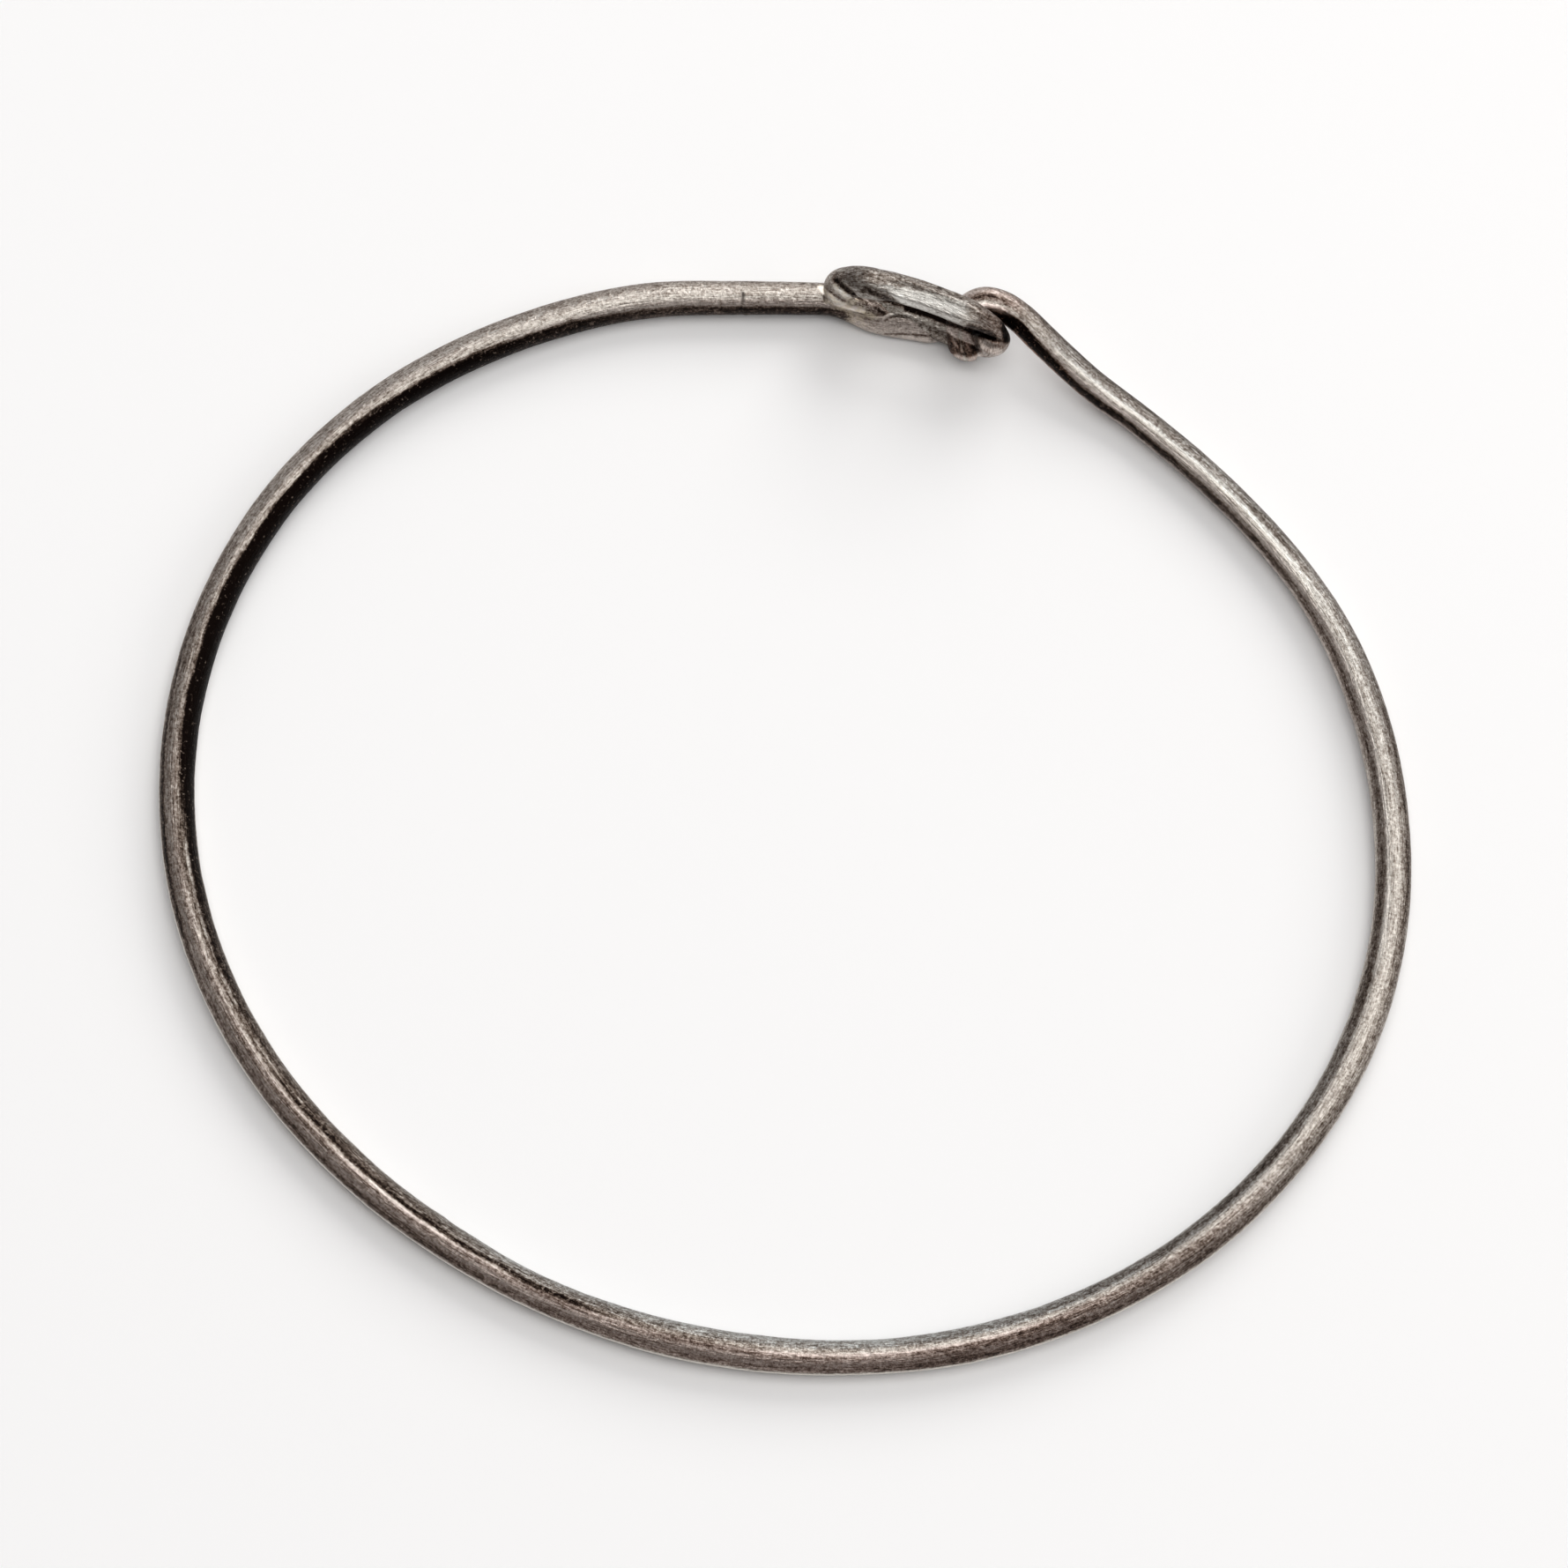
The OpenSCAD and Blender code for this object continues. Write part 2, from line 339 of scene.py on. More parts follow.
MARKS = (
    # The end of the hole, at the left, and the crease that runs on from it, both darkened with painted
    # shade
    Mark(((-4.49, -0.26), (-3.98, -0.51), (-3.42, -0.74)), 0.15, (2.2, 6), depth=0.09, tarnish_and_painted_light=0.55),
    Mark(((-3.42, -0.74), (-2.57, -0.99)), 0.06, depth=0.05, tarnish_and_painted_light=0.32),
    # The eye's left end: a brown crease darkened with painted shade, beige solder above it and a cream
    # edge of solder below, painted lighter as a painted highlight
    Mark(((-4.83, -0.92), (-3.75, -1.25)), 0.08, depth=0.05, tarnish_and_painted_light=0.3),
    Mark(((-4.50, -0.57), (-3.41, -1.10)), 0.14, tarnish_and_painted_light=-0.42, solder=0.7),
    # The cream edge: solder colour with a painted highlight along it
    Mark(
        ((-5.23, -0.89), (-4.19, -1.43), (-3.34, -1.48), (-2.68, -1.43)),
        0.14,
        depth=-0.02,
        tarnish_and_painted_light=-1.0,
        solder=1,
    ),
    Mark(((-3.02, -1.43), (-1.97, -1.67)), 0.2, tarnish_and_painted_light=-0.04, solder=0.8),
    # The crease that runs on from the hole at the right, darkened with painted shade, and the dark rim
    Mark(((3.42, -0.83), (4.13, -0.92), (4.72, -0.94)), 0.09, depth=0.12, tarnish_and_painted_light=0.55),
    Mark(((4.72, 0.02), (5.06, -0.75)), 0.22, tarnish_and_painted_light=0.85),
    # The upper strand: its dark places, with painted shade along its underside, and its worn flat,
    # painted lighter partly for wear and partly as a painted highlight, with painted highlights on its
    # edges
    Mark(((2.95, -0.66), (4.3, -0.76)), 0.21, (2.8, 6), tarnish_and_painted_light=0.50),
    Mark(((-4.76, -0.04), (-3.31, 0.00)), 0.35, UPPER, tarnish_and_painted_light=0.06),
    # Painted shade along the upper strand's underside
    Mark(((-2.93, -0.29), (-1.57, -0.43), (-0.9, -0.62)), 0.2, UPPER, depth=0.03, tarnish_and_painted_light=0.40),
    # The worn flat: lighter partly for wear and partly as a painted highlight
    Mark(((-0.8, 0.0), (0.6, 0.08), (2.1, 0.10)), 0.48, UPPER, tarnish_and_painted_light=-0.50),
    # Painted highlights on the flat's edges
    Mark(((-1.75, 0.25), (-0.77, -0.22)), 0.16, UPPER, tarnish_and_painted_light=-0.26),
    Mark(((2.2, 0.0), (2.9, -0.22)), 0.26, UPPER, tarnish_and_painted_light=-0.24),
    Mark(((-1.58, -0.08), (-0.84, -0.41)), 0.1, UPPER, tarnish_and_painted_light=-0.22),
    Mark(((-0.50, -0.41), (1.22, -0.49), (2.36, -0.55)), 0.09, UPPER, tarnish_and_painted_light=-0.2),
    Mark(((1.06, 0.88), (1.54, 0.88)), 0.08, UPPER, tarnish_and_painted_light=-0.32),
    Mark(((0.84, 0.96), (2.18, 0.71)), 0.09, UPPER, tarnish_and_painted_light=0.26),
    # The lower strand: its band painted lighter as a painted highlight, a black line of painted shade
    # under the upper strand's edge, the painted highlight on its ridge, and its pale end, a painted
    # highlight too
    Mark(
        ((-0.9, -0.90), (-0.08, -0.99), (1.45, -1.08), (2.75, -1.19), (4.09, -1.28)),
        0.11,
        LOWER,
        tarnish_and_painted_light=-0.08,
    ),
    # The black line of painted shade that the upper strand's edge leaves on the lower strand
    Mark(
        ((-0.5, -0.70), (0.75, -0.70), (1.9, -0.78), (3.24, -0.89), (4.41, -0.88)),
        0.135,
        LOWER,
        tarnish_and_painted_light=0.75,
    ),
    # A painted highlight along the ridge of the tip's shoulder
    Mark(SHOULDER, 0.05, LOWER, depth=-0.03, tarnish_and_painted_light=-0.35),
    # The hook's flattened tip: lighter streaks between black ones, and its pale rim, a painted highlight
    Mark(((2.31, -1.58), (2.66, -1.87)), 0.09, LOWER, depth=-0.02, tarnish_and_painted_light=-0.42),
    Mark(((2.84, -1.72), (3.01, -2.07)), 0.06, LOWER, depth=-0.02, tarnish_and_painted_light=-0.40),
    Mark(((3.12, -1.62), (3.35, -1.91)), 0.07, LOWER, depth=-0.02, tarnish_and_painted_light=-0.32),
    Mark(((3.46, -1.66), (3.78, -1.76)), 0.08, LOWER, tarnish_and_painted_light=0.30),
    # The tip's pale rim: a painted highlight
    Mark(((2.75, -2.40), (3.49, -2.42), (3.95, -2.02)), 0.15, LOWER, tarnish_and_painted_light=-0.60),
    # The lower strand's pale end: a painted highlight
    Mark(((4.03, -1.40), (4.85, -1.55)), 0.22, (0, 3.2), tarnish_and_painted_light=-0.26),
    # The tongue: ridges left by the hammer, the crevice by the lower strand darkened with painted shade,
    # a dark line along its edge with a painted highlight below it, and its dark bevel, with painted
    # shade past its end
    # The crevice where the tongue meets the lower strand: painted shade
    Mark(((-2.05, -1.08), (-1.55, -1.29)), 0.09, TONGUE, depth=0.06, tarnish_and_painted_light=0.4),
    Mark(
        ((-1.60, -1.76), (-1.47, -1.41), (-1.11, -1.15), (-0.53, -0.97), (0.17, -1.01)),
        0.07,
        TONGUE,
        depth=-0.05,
        tarnish_and_painted_light=-0.16,
    ),
    Mark(
        ((-1.40, -1.64), (-1.18, -1.38), (-0.86, -1.18), (-0.43, -1.15)),
        0.07,
        TONGUE,
        depth=0.06,
        tarnish_and_painted_light=0.34,
    ),
    Mark(((-1.18, -2.34), (-0.25, -2.05), (1.03, -1.76)), 0.07, BEVEL, depth=0.05, tarnish_and_painted_light=0.34),
    # A painted highlight below the dark line along the edge
    Mark(((-0.19, -2.24), (1.15, -2.03)), 0.09, BEVEL, tarnish_and_painted_light=-0.22),
    Mark(((-2.66, -1.77), (-1.75, -1.90)), 0.26, TONGUE, tarnish_and_painted_light=0.19),
    Mark(((0.29, -1.28), (0.55, -1.81)), 0.05, BEVEL, depth=-0.02, tarnish_and_painted_light=-0.12),
    Mark(((0.49, -1.27), (0.77, -1.74)), 0.04, BEVEL, depth=0.03, tarnish_and_painted_light=0.18),
    Mark(((0.69, -1.31), (1.04, -1.81)), 0.05, BEVEL, depth=-0.02, tarnish_and_painted_light=-0.12),
    Mark(((0.97, -1.27), (1.27, -1.94)), 0.06, BEVEL, depth=0.04, tarnish_and_painted_light=0.32),
    # Painted shade on the lower strand's side past the tongue's end
    Mark(((1.25, -1.39), (1.94, -1.58)), 0.2, BEVEL, tarnish_and_painted_light=0.18),
)


def seen(points: np.ndarray) -> tuple[np.ndarray, np.ndarray]:
    """Places of points for the marks.

    Args:
        points: one row of x, y, z for each point, in millimetres.

    Returns:
        Places along the eye and outwards, at the height of the upper strand's side.
    """
    drop = SIDE_Z - points[:, 2]
    along = points[:, 0] - FOOT_X + SIGHT_ALONG * drop
    return along, points[:, 1] - FOOT_Y + SIGHT_OUT * drop


def marked(points: np.ndarray) -> tuple[np.ndarray, np.ndarray, np.ndarray]:
    """Adds up the marks.

    Args:
        points: one row of x, y, z for each point, in millimetres.

    Returns:
        The depth, the tarnish with its painted shade and painted highlights, and the solder at each
        point.
    """
    along, out = seen(points)
    depth, tarnish_and_painted_light, solder = (np.zeros(len(points)) for _ in range(3))
    for mark in MARKS:
        share = mark.share(along, out, points[:, 2])
        depth += mark.depth * share
        tarnish_and_painted_light += mark.tarnish_and_painted_light * share
        solder += mark.solder * share
    return depth, tarnish_and_painted_light, np.clip(solder, 0, 1)


@dataclass
class Line:
    """A centre line with its section at each point.

    Attributes:
        rows: rows of x, y, z, across, tall, roll.
        outward: directions of a section's width before its roll, with rows of nan, or None, for
            level ones.
        closed: whether the last row joins the first.
    """

    rows: np.ndarray
    outward: np.ndarray | None = None
    closed: bool = False

    def __post_init__(self) -> None:
        """Works out distances, directions and sections once."""
        place = self.rows[:, :3]
        if self.closed:
            step = np.linalg.norm(np.roll(place, -1, 0) - place, axis=1)
            forward = np.roll(place, -1, 0) - np.roll(place, 1, 0)
            self.length = float(step.sum())
            self.marks = np.concatenate([[0], np.cumsum(step)])[:-1]
        else:
            step = np.linalg.norm(np.diff(place, axis=0), axis=1)
            self.marks = np.concatenate([[0], np.cumsum(step)])
            self.length = float(self.marks[-1])
            forward = np.gradient(place, self.marks, axis=0)
        forward /= np.linalg.norm(forward, axis=1)[:, None]
        flat = np.cross([0, 0, 1.0], forward)
        if self.outward is not None:
            flat = np.where(np.isnan(self.outward), flat, self.outward)
        level = flat - (flat * forward).sum(1)[:, None] * forward
        level /= np.linalg.norm(level, axis=1)[:, None]
        upright = np.cross(forward, level)
        roll = np.radians(self.rows[:, 5])[:, None]
        self.side = level * np.cos(roll) + upright * np.sin(roll)
        self.rise = np.cross(forward, self.side)

    def read(self, values: np.ndarray, at: np.ndarray) -> np.ndarray:
        """Reads values kept for each row at any distance.

        Args:
            values: one number or vector for each row.
            at: distances along the line.

        Returns:
            The values at those distances.
        """
        marks, table = self.marks, values
        if self.closed:
            marks = np.append(marks, self.length)
            table = np.concatenate([values, values[:1]])
        if table.ndim == 1:
            return np.interp(at, marks, table)
        return np.stack([np.interp(at, marks, column) for column in table.T], axis=1)

    def skin(self, at: np.ndarray, round_: np.ndarray, lift: np.ndarray) -> np.ndarray:
        """Points on the surface round the line.

        Args:
            at: distances along the line.
            round_: angles round the section, in degrees.
            lift: how far each point stands off the section.

        Returns:
            The points, in millimetres.
        """
        turn = np.radians(round_)[:, None]
        across = self.read(self.rows[:, 3], at)[:, None] / 2 + lift[:, None]
        tall = self.read(self.rows[:, 4], at)[:, None] / 2 + lift[:, None]
        return (
            self.read(self.rows[:, :3], at)
            + self.read(self.side, at) * np.cos(turn) * across
            + self.read(self.rise, at) * np.sin(turn) * tall
        )


@dataclass
class Wire:
    """The round wire of the oval, with the tongue at one end and the shank and hook at the other.

    Angle 0 round the wire looks to the inside of the oval, 90 up and 180 outwards. Distances run
    from the oval's start at the eye, with the tongue below 0.
    """

    # Set with the centre line: where the oval starts on it, and the distance of the hook's tip
    zero: float = 0.0
    end: float = 0.0
    # Faces round the rod, the two rounds of cuts along it, and what counts as no length at all
    sides: int = 88
    tiny: float = 1e-5
    first_cuts: int = 32
    second_cuts: int = 32
    # Rows of a smooth span, and how far into the oval the ends' curves look
    fine: int = 24
    lead: int = 20
    # Largest step along an arc, and how much the wire is flatter than its full thickness
    step: float = 0.15
    clear: float = 0.01
    # The tongue: thickness, breadth, roll and height of its middle
    tongue_t: float = 0.8
    tongue_w: float = 1.66
    tongue_roll: float = 28.0
    tongue_z: float = 0.87
    # The hook: height of its top run, and how far out it goes past the eye
    hook_z: float = 2.68
    hook_out: float = 1.2
    # The hook's last rows keep their width along the eye
    square_rows: int = 7
    along_eye: tuple[float, float, float] = (1.0, -0.12, 0.0)
    # Unevenness all along: size, wavelengths, seed
    uneven: tuple = ((0.012, (7.3, 4.1, 2.7), 3), (0.006, (1.3, 0.9, 0.7), 5))
    # Where a nick crosses the wire, its half width, and its burr and its cut: shift, height
    nick: float = 4.1
    nick_w: float = 0.2
    nick_rows: Table = ((-0.25, 0.03), (0.0, -0.06))
    # Angle that the nick faces, and how directly a place faces there where it starts and is whole
    nick_side: float = 40.0
    nick_facing: tuple[float, float] = (0.45, 0.75)
    # How much closer the rings stand at the two worked ends and at the nick, where that starts and
    # is whole, from the oval's start and from the hook's tip, and how far it reaches at the nick
    closer: float = 1.2
    closest: float = 3.0
    close_start: tuple[float, float] = (2.0, -1.0)
    close_end: tuple[float, float] = (18.0, 12.0)
    close_nick: float = 1.2
    samples: int = 4000
    # Bulges on the inner side of the oval: distances, height, half length, angle and its reach
    bulges: tuple[float, ...] = (77.2, 152.0)
    bulge: tuple[float, ...] = (0.04, 0.7, 10.0, 35.0)
    # Rings left by the hammer on the tongue: distance, angle, width, height and reach of the rings,
    # and the length of a degree round the tongue
    ripple: tuple[float, ...] = (-4.6, 42.0, 0.3, 0.022, 1.1)
    degree: float = 0.013
    # The crest that catches the light where the hook turns: distances and angles, where it starts
    # and ends, height and reach
    crest: Table = ((180.0, 182.0, 184.0), (72.0, 57.0, 54.0))
    crest_span: Table = ((180.2, 181.2), (184.4, 183.4))
    crest_h: float = 0.065
    crest_reach: float = 16.0
    # How far before the hook's end its flattened part starts and is whole, and the same for the
    # finish of that part
    flat_from: tuple[float, float] = (3.2, 2.6)
    dressed_from: tuple[float, float] = (3.4, 3.0)
    # Above the shoulder the flattened part is fuller by this much, and how sharp the shoulder is
    full: float = 0.05
    shoulder: tuple[float, float] = (0.06, -0.02)
    # Where the marks start on the tongue's surface and in its finish
    cut_from: tuple[float, float] = (0.0, -1.0)
    marks_from: tuple[float, float] = (1.0, -0.5)
    # Stretch of the streaks across the hammered end
    streak: float = 1.2
    # The first arc's start and heading, and the arcs of the oval: radius, turn
    start: tuple[float, float] = (-6.6, 27.7)
    heading: float = 195.5
    arcs: Table = (
        (208, 1.5),
        (30.5, 31),
        (26, 80.5),
        (28.5, 20),
        (37, 53),
        (31, 25),
        (28, 23),
        (24.5, 36.5),
        (28, 25),
        (23.5, 15),
        (45, 11),
        (200, 0.6),
    )
    # Hand work along the wire: distance from the eye, how far it lies inwards, width across
    worked: Table = (
        (0, 0.03, 1.74),
        (5, 0.05, 1.81),
        (9, 0.0, 1.89),
        (17, 0.12, 1.91),
        (25, 0.11, 1.91),
        (33, 0.06, 1.92),
        (49, 0.03, 1.88),
        (57, 0.0, 1.92),
        (73, 0.0, 1.93),
        (78, 0.04, 1.92),
        (84, -0.03, 1.83),
        (91, -0.04, 1.92),
        (95, -0.03, 1.91),
        (101, -0.03, 1.80),
        (107, -0.03, 1.90),
        (121, -0.02, 1.93),
        (129, 0.0, 1.90),
        (133, 0.0, 1.94),
        (143, 0.0, 1.90),
        (153, -0.02, 1.89),
        (161, 0.01, 1.68),
        (165, 0.0, 1.62),
        (172, 0.0, 1.60),
    )
    # Black band of the inner side, partly tarnish and partly a painted dark reflection: distance from
    # the eye, first and last angle, how black it is
    oxide_and_dark_reflection: Table = (
        (-9, -80, 20, 0.0),
        (-2.6, -80, 30, 0.0),
        (-1.6, -80, 42, 0.55),
        (0, -80, 43, 0.68),
        (4, -80, 42, 0.60),
        (9, -80, 46, 0.60),
        (14, -80, 56, 0.70),
        (20, -80, 68, 0.92),
        (28, -80, 75, 0.95),
        (33, -80, 79, 0.95),
        (38, -50, 82, 0.95),
        (44, -10, 80, 1.0),
        (48, 8, 73, 0.95),
        (52, 14, 64, 0.80),
        (56, 14, 61, 0.62),
        (64, 16, 62, 0.42),
        (72, 18, 66, 0.34),
        (84, 20, 62, 0.20),
        (92, 20, 76, 0.16),
        (100, 20, 76, 0.14),
        (108, 20, 66, 0.20),
        (116, 22, 62, 0.30),
        (124, 24, 63, 0.40),
        (132, 24, 66, 0.38),
        (140, 24, 58, 0.40),
        (148, 30, 54, 0.30),
        (156, 22, 50, 0.36),
        (162, 14, 46, 0.44),
        (168, 6, 42, 0.58),
        (172, 14, 47, 0.66),
        (176, 6, 48, 0.82),
        (178, 8, 57, 0.88),
        (180, 12, 68, 0.85),
        (181.5, 10, 45, 0.80),
        (184, -80, 39, 0.64),
        (200, -80, 60, 0.50),
    )
    # Brown band of the outer side, in the same way
    brown: Table = (
        (-9, 110, 160, 0.10),
        (4, 112, 158, 0.18),
        (14, 112, 158, 0.14),
        (24, 112, 158, 0.10),
        (40, 112, 158, 0.16),
        (52, 124, 156, 0.24),
        (62, 126, 160, 0.14),
        (72, 128, 162, 0.18),
        (84, 126, 162, 0.14),
        (92, 112, 166, 0.11),
        (100, 102, 168, 0.12),
        (108, 100, 166, 0.22),
        (116, 104, 160, 0.22),
        (126, 108, 160, 0.20),
        (133, 112, 160, 0.18),
        (142, 116, 162, 0.22),
        (150, 112, 162, 0.22),
        (160, 104, 165, 0.18),
        (172, 100, 165, 0.15),
        (180, 100, 165, 0.08),
        (200, 100, 165, 0.10),
    )
    # Tarnish that lies on top of the wire: distance, amount
    top: Table = (
        (-9, 0.10),
        (-1, 0.06),
        (12, 0.0),
        (20, 0.08),
        (30, 0.10),
        (38, 0.16),
        (46, 0.24),
        (56, 0.26),
        (68, 0.25),
        (80, 0.27),
        (86, 0.30),
        (94, 0.12),
        (102, 0.12),
        (116, 0.10),
        (126, 0.05),
        (140, 0.03),
        (160, 0.05),
        (172, 0.10),
        (178, 0.08),
        (200, 0.04),
    )
    # Dark band low on the outer side and the pale edge beyond it: distance, how much of each
    outer: Table = (
        (-9, 0.0, 0.0),
        (4, 0.03, 0.0),
        (20, 0.12, 0.0),
        (36, 0.12, 0.05),
        (44, 0.24, 0.80),
        (52, 0.36, 0.90),
        (60, 0.18, 0.80),
        (68, 0.28, 0.60),
        (76, 0.32, 0.42),
        (92, 0.20, 0.40),
        (104, 0.26, 0.40),
        (116, 0.26, 0.30),
        (126, 0.18, 0.20),
        (134, 0.05, 0.0),
        (142, 0.16, 0.0),
        (156, 0.10, 0.0),
        (168, 0.10, 0.0),
        (173, 0.30, 0.0),
        (179, 0.38, 0.0),
        (181, 0.22, 0.0),
        (183, 0.0, 0.0),
        (200, 0.0, 0.0),
    )
    # Hue, bluish below 0 and reddish above: distance, on the inner side, on the outer side
    hues: Table = (
        (-9, 0.5, 0.2),
        (2, 0.6, 0.1),
        (12, 0.3, 0.1),
        (28, 0.1, 0.2),
        (44, -0.3, 0.2),
        (56, -0.3, 0.5),
        (68, -0.1, 0.7),
        (84, -0.9, 0.8),
        (92, -1.0, 0.9),
        (100, -1.0, 1.1),
        (108, -1.0, 1.0),
        (120, -0.7, 0.4),
        (128, -0.4, 0.0),
        (144, 0.2, 0.0),
        (156, 0.5, -0.3),
        (166, 0.4, -0.7),
        (177, 0.6, -0.5),
        (180, 0.7, 0.1),
        (181, 0.9, 0.8),
        (190, 0.9, 0.8),
    )
    # Tone of the flattened part, how much blacker the tip is below its shoulder as painted shade on its
    # down-turned face, and its bloom
    tip_tone: float = 0.06
    tip_shade: float = 0.50
    tip_bloom: float = 0.2
    # Bloom on the hook where it was heated: how much, angle and its reach, where it starts and is
    # whole, and where it starts to fade and has gone before the tip
    bloom: float = 0.8
    bloom_at: tuple[float, float] = (22.0, 42.0)
    bloom_from: tuple[float, float] = (173.0, 178.0)
    bloom_to: tuple[float, float] = (5.0, 3.0)
    # Angles of the two hues: the inner side's end, and the outer side
    cool_side: tuple[float, float] = (78.0, 62.0)
    warm_side: Table = ((78.0, 96.0), (168.0, 150.0))
    # Solder on the tongue: how creamy, and where it starts and ends
    cream: float = 0.6
    cream_span: Table = ((-0.6, -1.5), (-3.6, -2.2))
    # How far the bands wander round the wire, and how ragged the black one is: degrees,
    # wavelengths, seed
    wander: tuple = (4.0, (11.0, 6.1, 3.7), 8)
    ragged: tuple = (2.5, (1.9, 1.3, 0.8), 9)
    # How softly the black and the brown band start and end, in degrees
    black_band_soft: tuple[float, float] = (14.0, 8.0)
    brown_soft: tuple[float, float] = (10.0, 12.0)
    # Where the tarnish on top and the dark band of the outer side lie: angle, how far it reaches
    top_at: tuple[float, float] = (84.0, 52.0)
    outer_at: tuple[float, float] = (148.0, 27.0)
    # Angles of the pale edge beyond that band, and of the darker one where the oval comes back
    pale_edge: Table = ((163.0, 172.0), (220.0, 190.0))
    last_edge: Table = ((150.0, 165.0), (215.0, 195.0))
    last_from: tuple[float, float] = (128.0, 140.0)
    last_tone: float = 0.09
    # A drawn line comes to a point over this length, and fades past its breadth by this much
    point: float = 4.0
    soft: float = 1.6
    # Drawn lines, and painted highlights along the wire and the hook: first and last distance, angle at
    # each, breadth in degrees, darker or lighter
    lines_and_painted_light: Table = (
        (15, 30, 58, 73, 5, -0.30),
        (28, 46, 78, 76, 5, -0.16),
        (34, 60, 139, 139, 6, 0.14),
        (40, 56, 67, 60, 6, -0.34),
        (64, 88, 71, 79, 9, 0.26),
        (70, 81, 90, 90, 6, -0.28),
        (80, 97, 86, 86, 10, 0.20),
        (88, 98, 97, 97, 8, 0.14),
        (40, 56, 78, 82, 8, 0.16),
        (126, 136, 52, 52, 14, -0.16),
        (104, 122, 106, 108, 9, 0.10),
        (108, 124, 88, 92, 12, 0.14),
        (50, 88, 73, 75, 5, 0.20),
        (52, 92, 89, 90, 5, -0.20),
        (60, 74, 104, 102, 5, 0.12),
        (74, 90, 116, 114, 5, -0.14),
        (84, 112, 92, 90, 5, -0.16),
        (88, 112, 101, 99, 5, 0.14),
        (106, 132, 83, 82, 5, -0.12),
        (112, 130, 96, 104, 5, 0.10),
        (136, 160, 72, 69, 6, -0.30),
        (128, 150, 62, 60, 5, 0.10),
        (136, 154, 140, 138, 7, 0.12),
        (157, 178, 62, 62, 7, -0.36),
        (157, 178.5, 83, 85, 9, -0.34),
        (180.6, 186, 60, 64, 13, -1.0),
        (179, 186, 97, 95, 13, 0.50),
        (176.5, 183, 128, 128, 12, 0.14),
        (158, 167, 113, 112, 10, 0.20),
        (164, 180, 120, 120, 25, 0.10),
        (2, 18, 70, 66, 5, -0.08),
    )

    def tongue(self) -> list[list[float]]:
        """The flattened end.

        Returns:
            Rows of along, out, height, thickness, breadth and roll, from the eye's foot.
        """
        thin, broad, roll, low = self.tongue_t, self.tongue_w, self.tongue_roll, self.tongue_z
        return [
            [1.63, -0.36, low, 0.12, broad * 0.7, roll],
            [1.56, -0.38, low, 0.3, broad * 0.8, roll],
            [0.84, -0.60, low, thin - 0.04, broad * 0.95, roll],
            [0.72, -0.61, low, thin, broad * 0.97, roll],
            [-0.20, -0.70, low, thin, broad, roll],
            [-1.40, -0.82, low, thin + 0.15, broad + 0.04, roll],
            [-2.40, -0.80, low + 0.03, thin + 0.4, broad + 0.14, roll * 0.8],
            [-3.40, -0.58, WIRE_Z, thin + 0.7, broad + 0.16, roll * 0.4],
            [-4.40, -0.44, WIRE_Z, ROOT_D, ROOT_D, 0],
        ]

    def hook(self) -> list[list[float]]:
        """The hook, from the shank to the tip.

        Returns:
            Rows of along, out, height, across, tall and roll, from the eye's foot.
        """
        high, out = self.hook_z, self.hook_out
        return [
            [10.90, -1.34, 1.10, SHANK_D + 0.04, SHANK_D + 0.04, 0],
            [9.60, -0.87, 1.35, SHANK_D + 0.06, SHANK_D + 0.06, 0],
            [8.10, -0.22, 1.70, SHANK_D + 0.06, SHANK_D + 0.06, 0],
            [6.60, 0.48, 2.08, SHANK_D + 0.06, SHANK_D + 0.04, 0],
            [5.40, out - 0.15, 2.40, SHANK_D + 0.04, SHANK_D + 0.02, 0],
            [4.30, out + 0.18, high - 0.08, SHANK_D + 0.02, SHANK_D, 0],
            [3.30, out + 0.13, high, SHANK_D, SHANK_D, 0],
            [2.66, out - 0.32, high, SHANK_D - 0.05, SHANK_D - 0.05, 0],
            [2.38, 0.25, high - 0.02, NECK_D, NECK_D, 0],
            [2.36, -0.25, high - 0.16, NECK_D - 0.05, TIP_T + 0.45, 0],
            [2.44, -0.68, high - 0.38, TIP_W - 0.2, TIP_T + 0.2, 0],
            [2.64, -1.06, high - 0.66, TIP_W - 0.1, TIP_T + 0.05, 0],
            [2.91, -1.35, high - 0.99, TIP_W, TIP_T, 0],
            [3.05, -1.49, high - 1.26, TIP_W * 0.9, TIP_T * 0.95, 0],
            [3.11, -1.56, high - 1.43, TIP_W * 0.65, TIP_T * 0.8, 0],
            [3.14, -1.60, high - 1.51, TIP_W * 0.25, TIP_T * 0.5, 0],
        ]

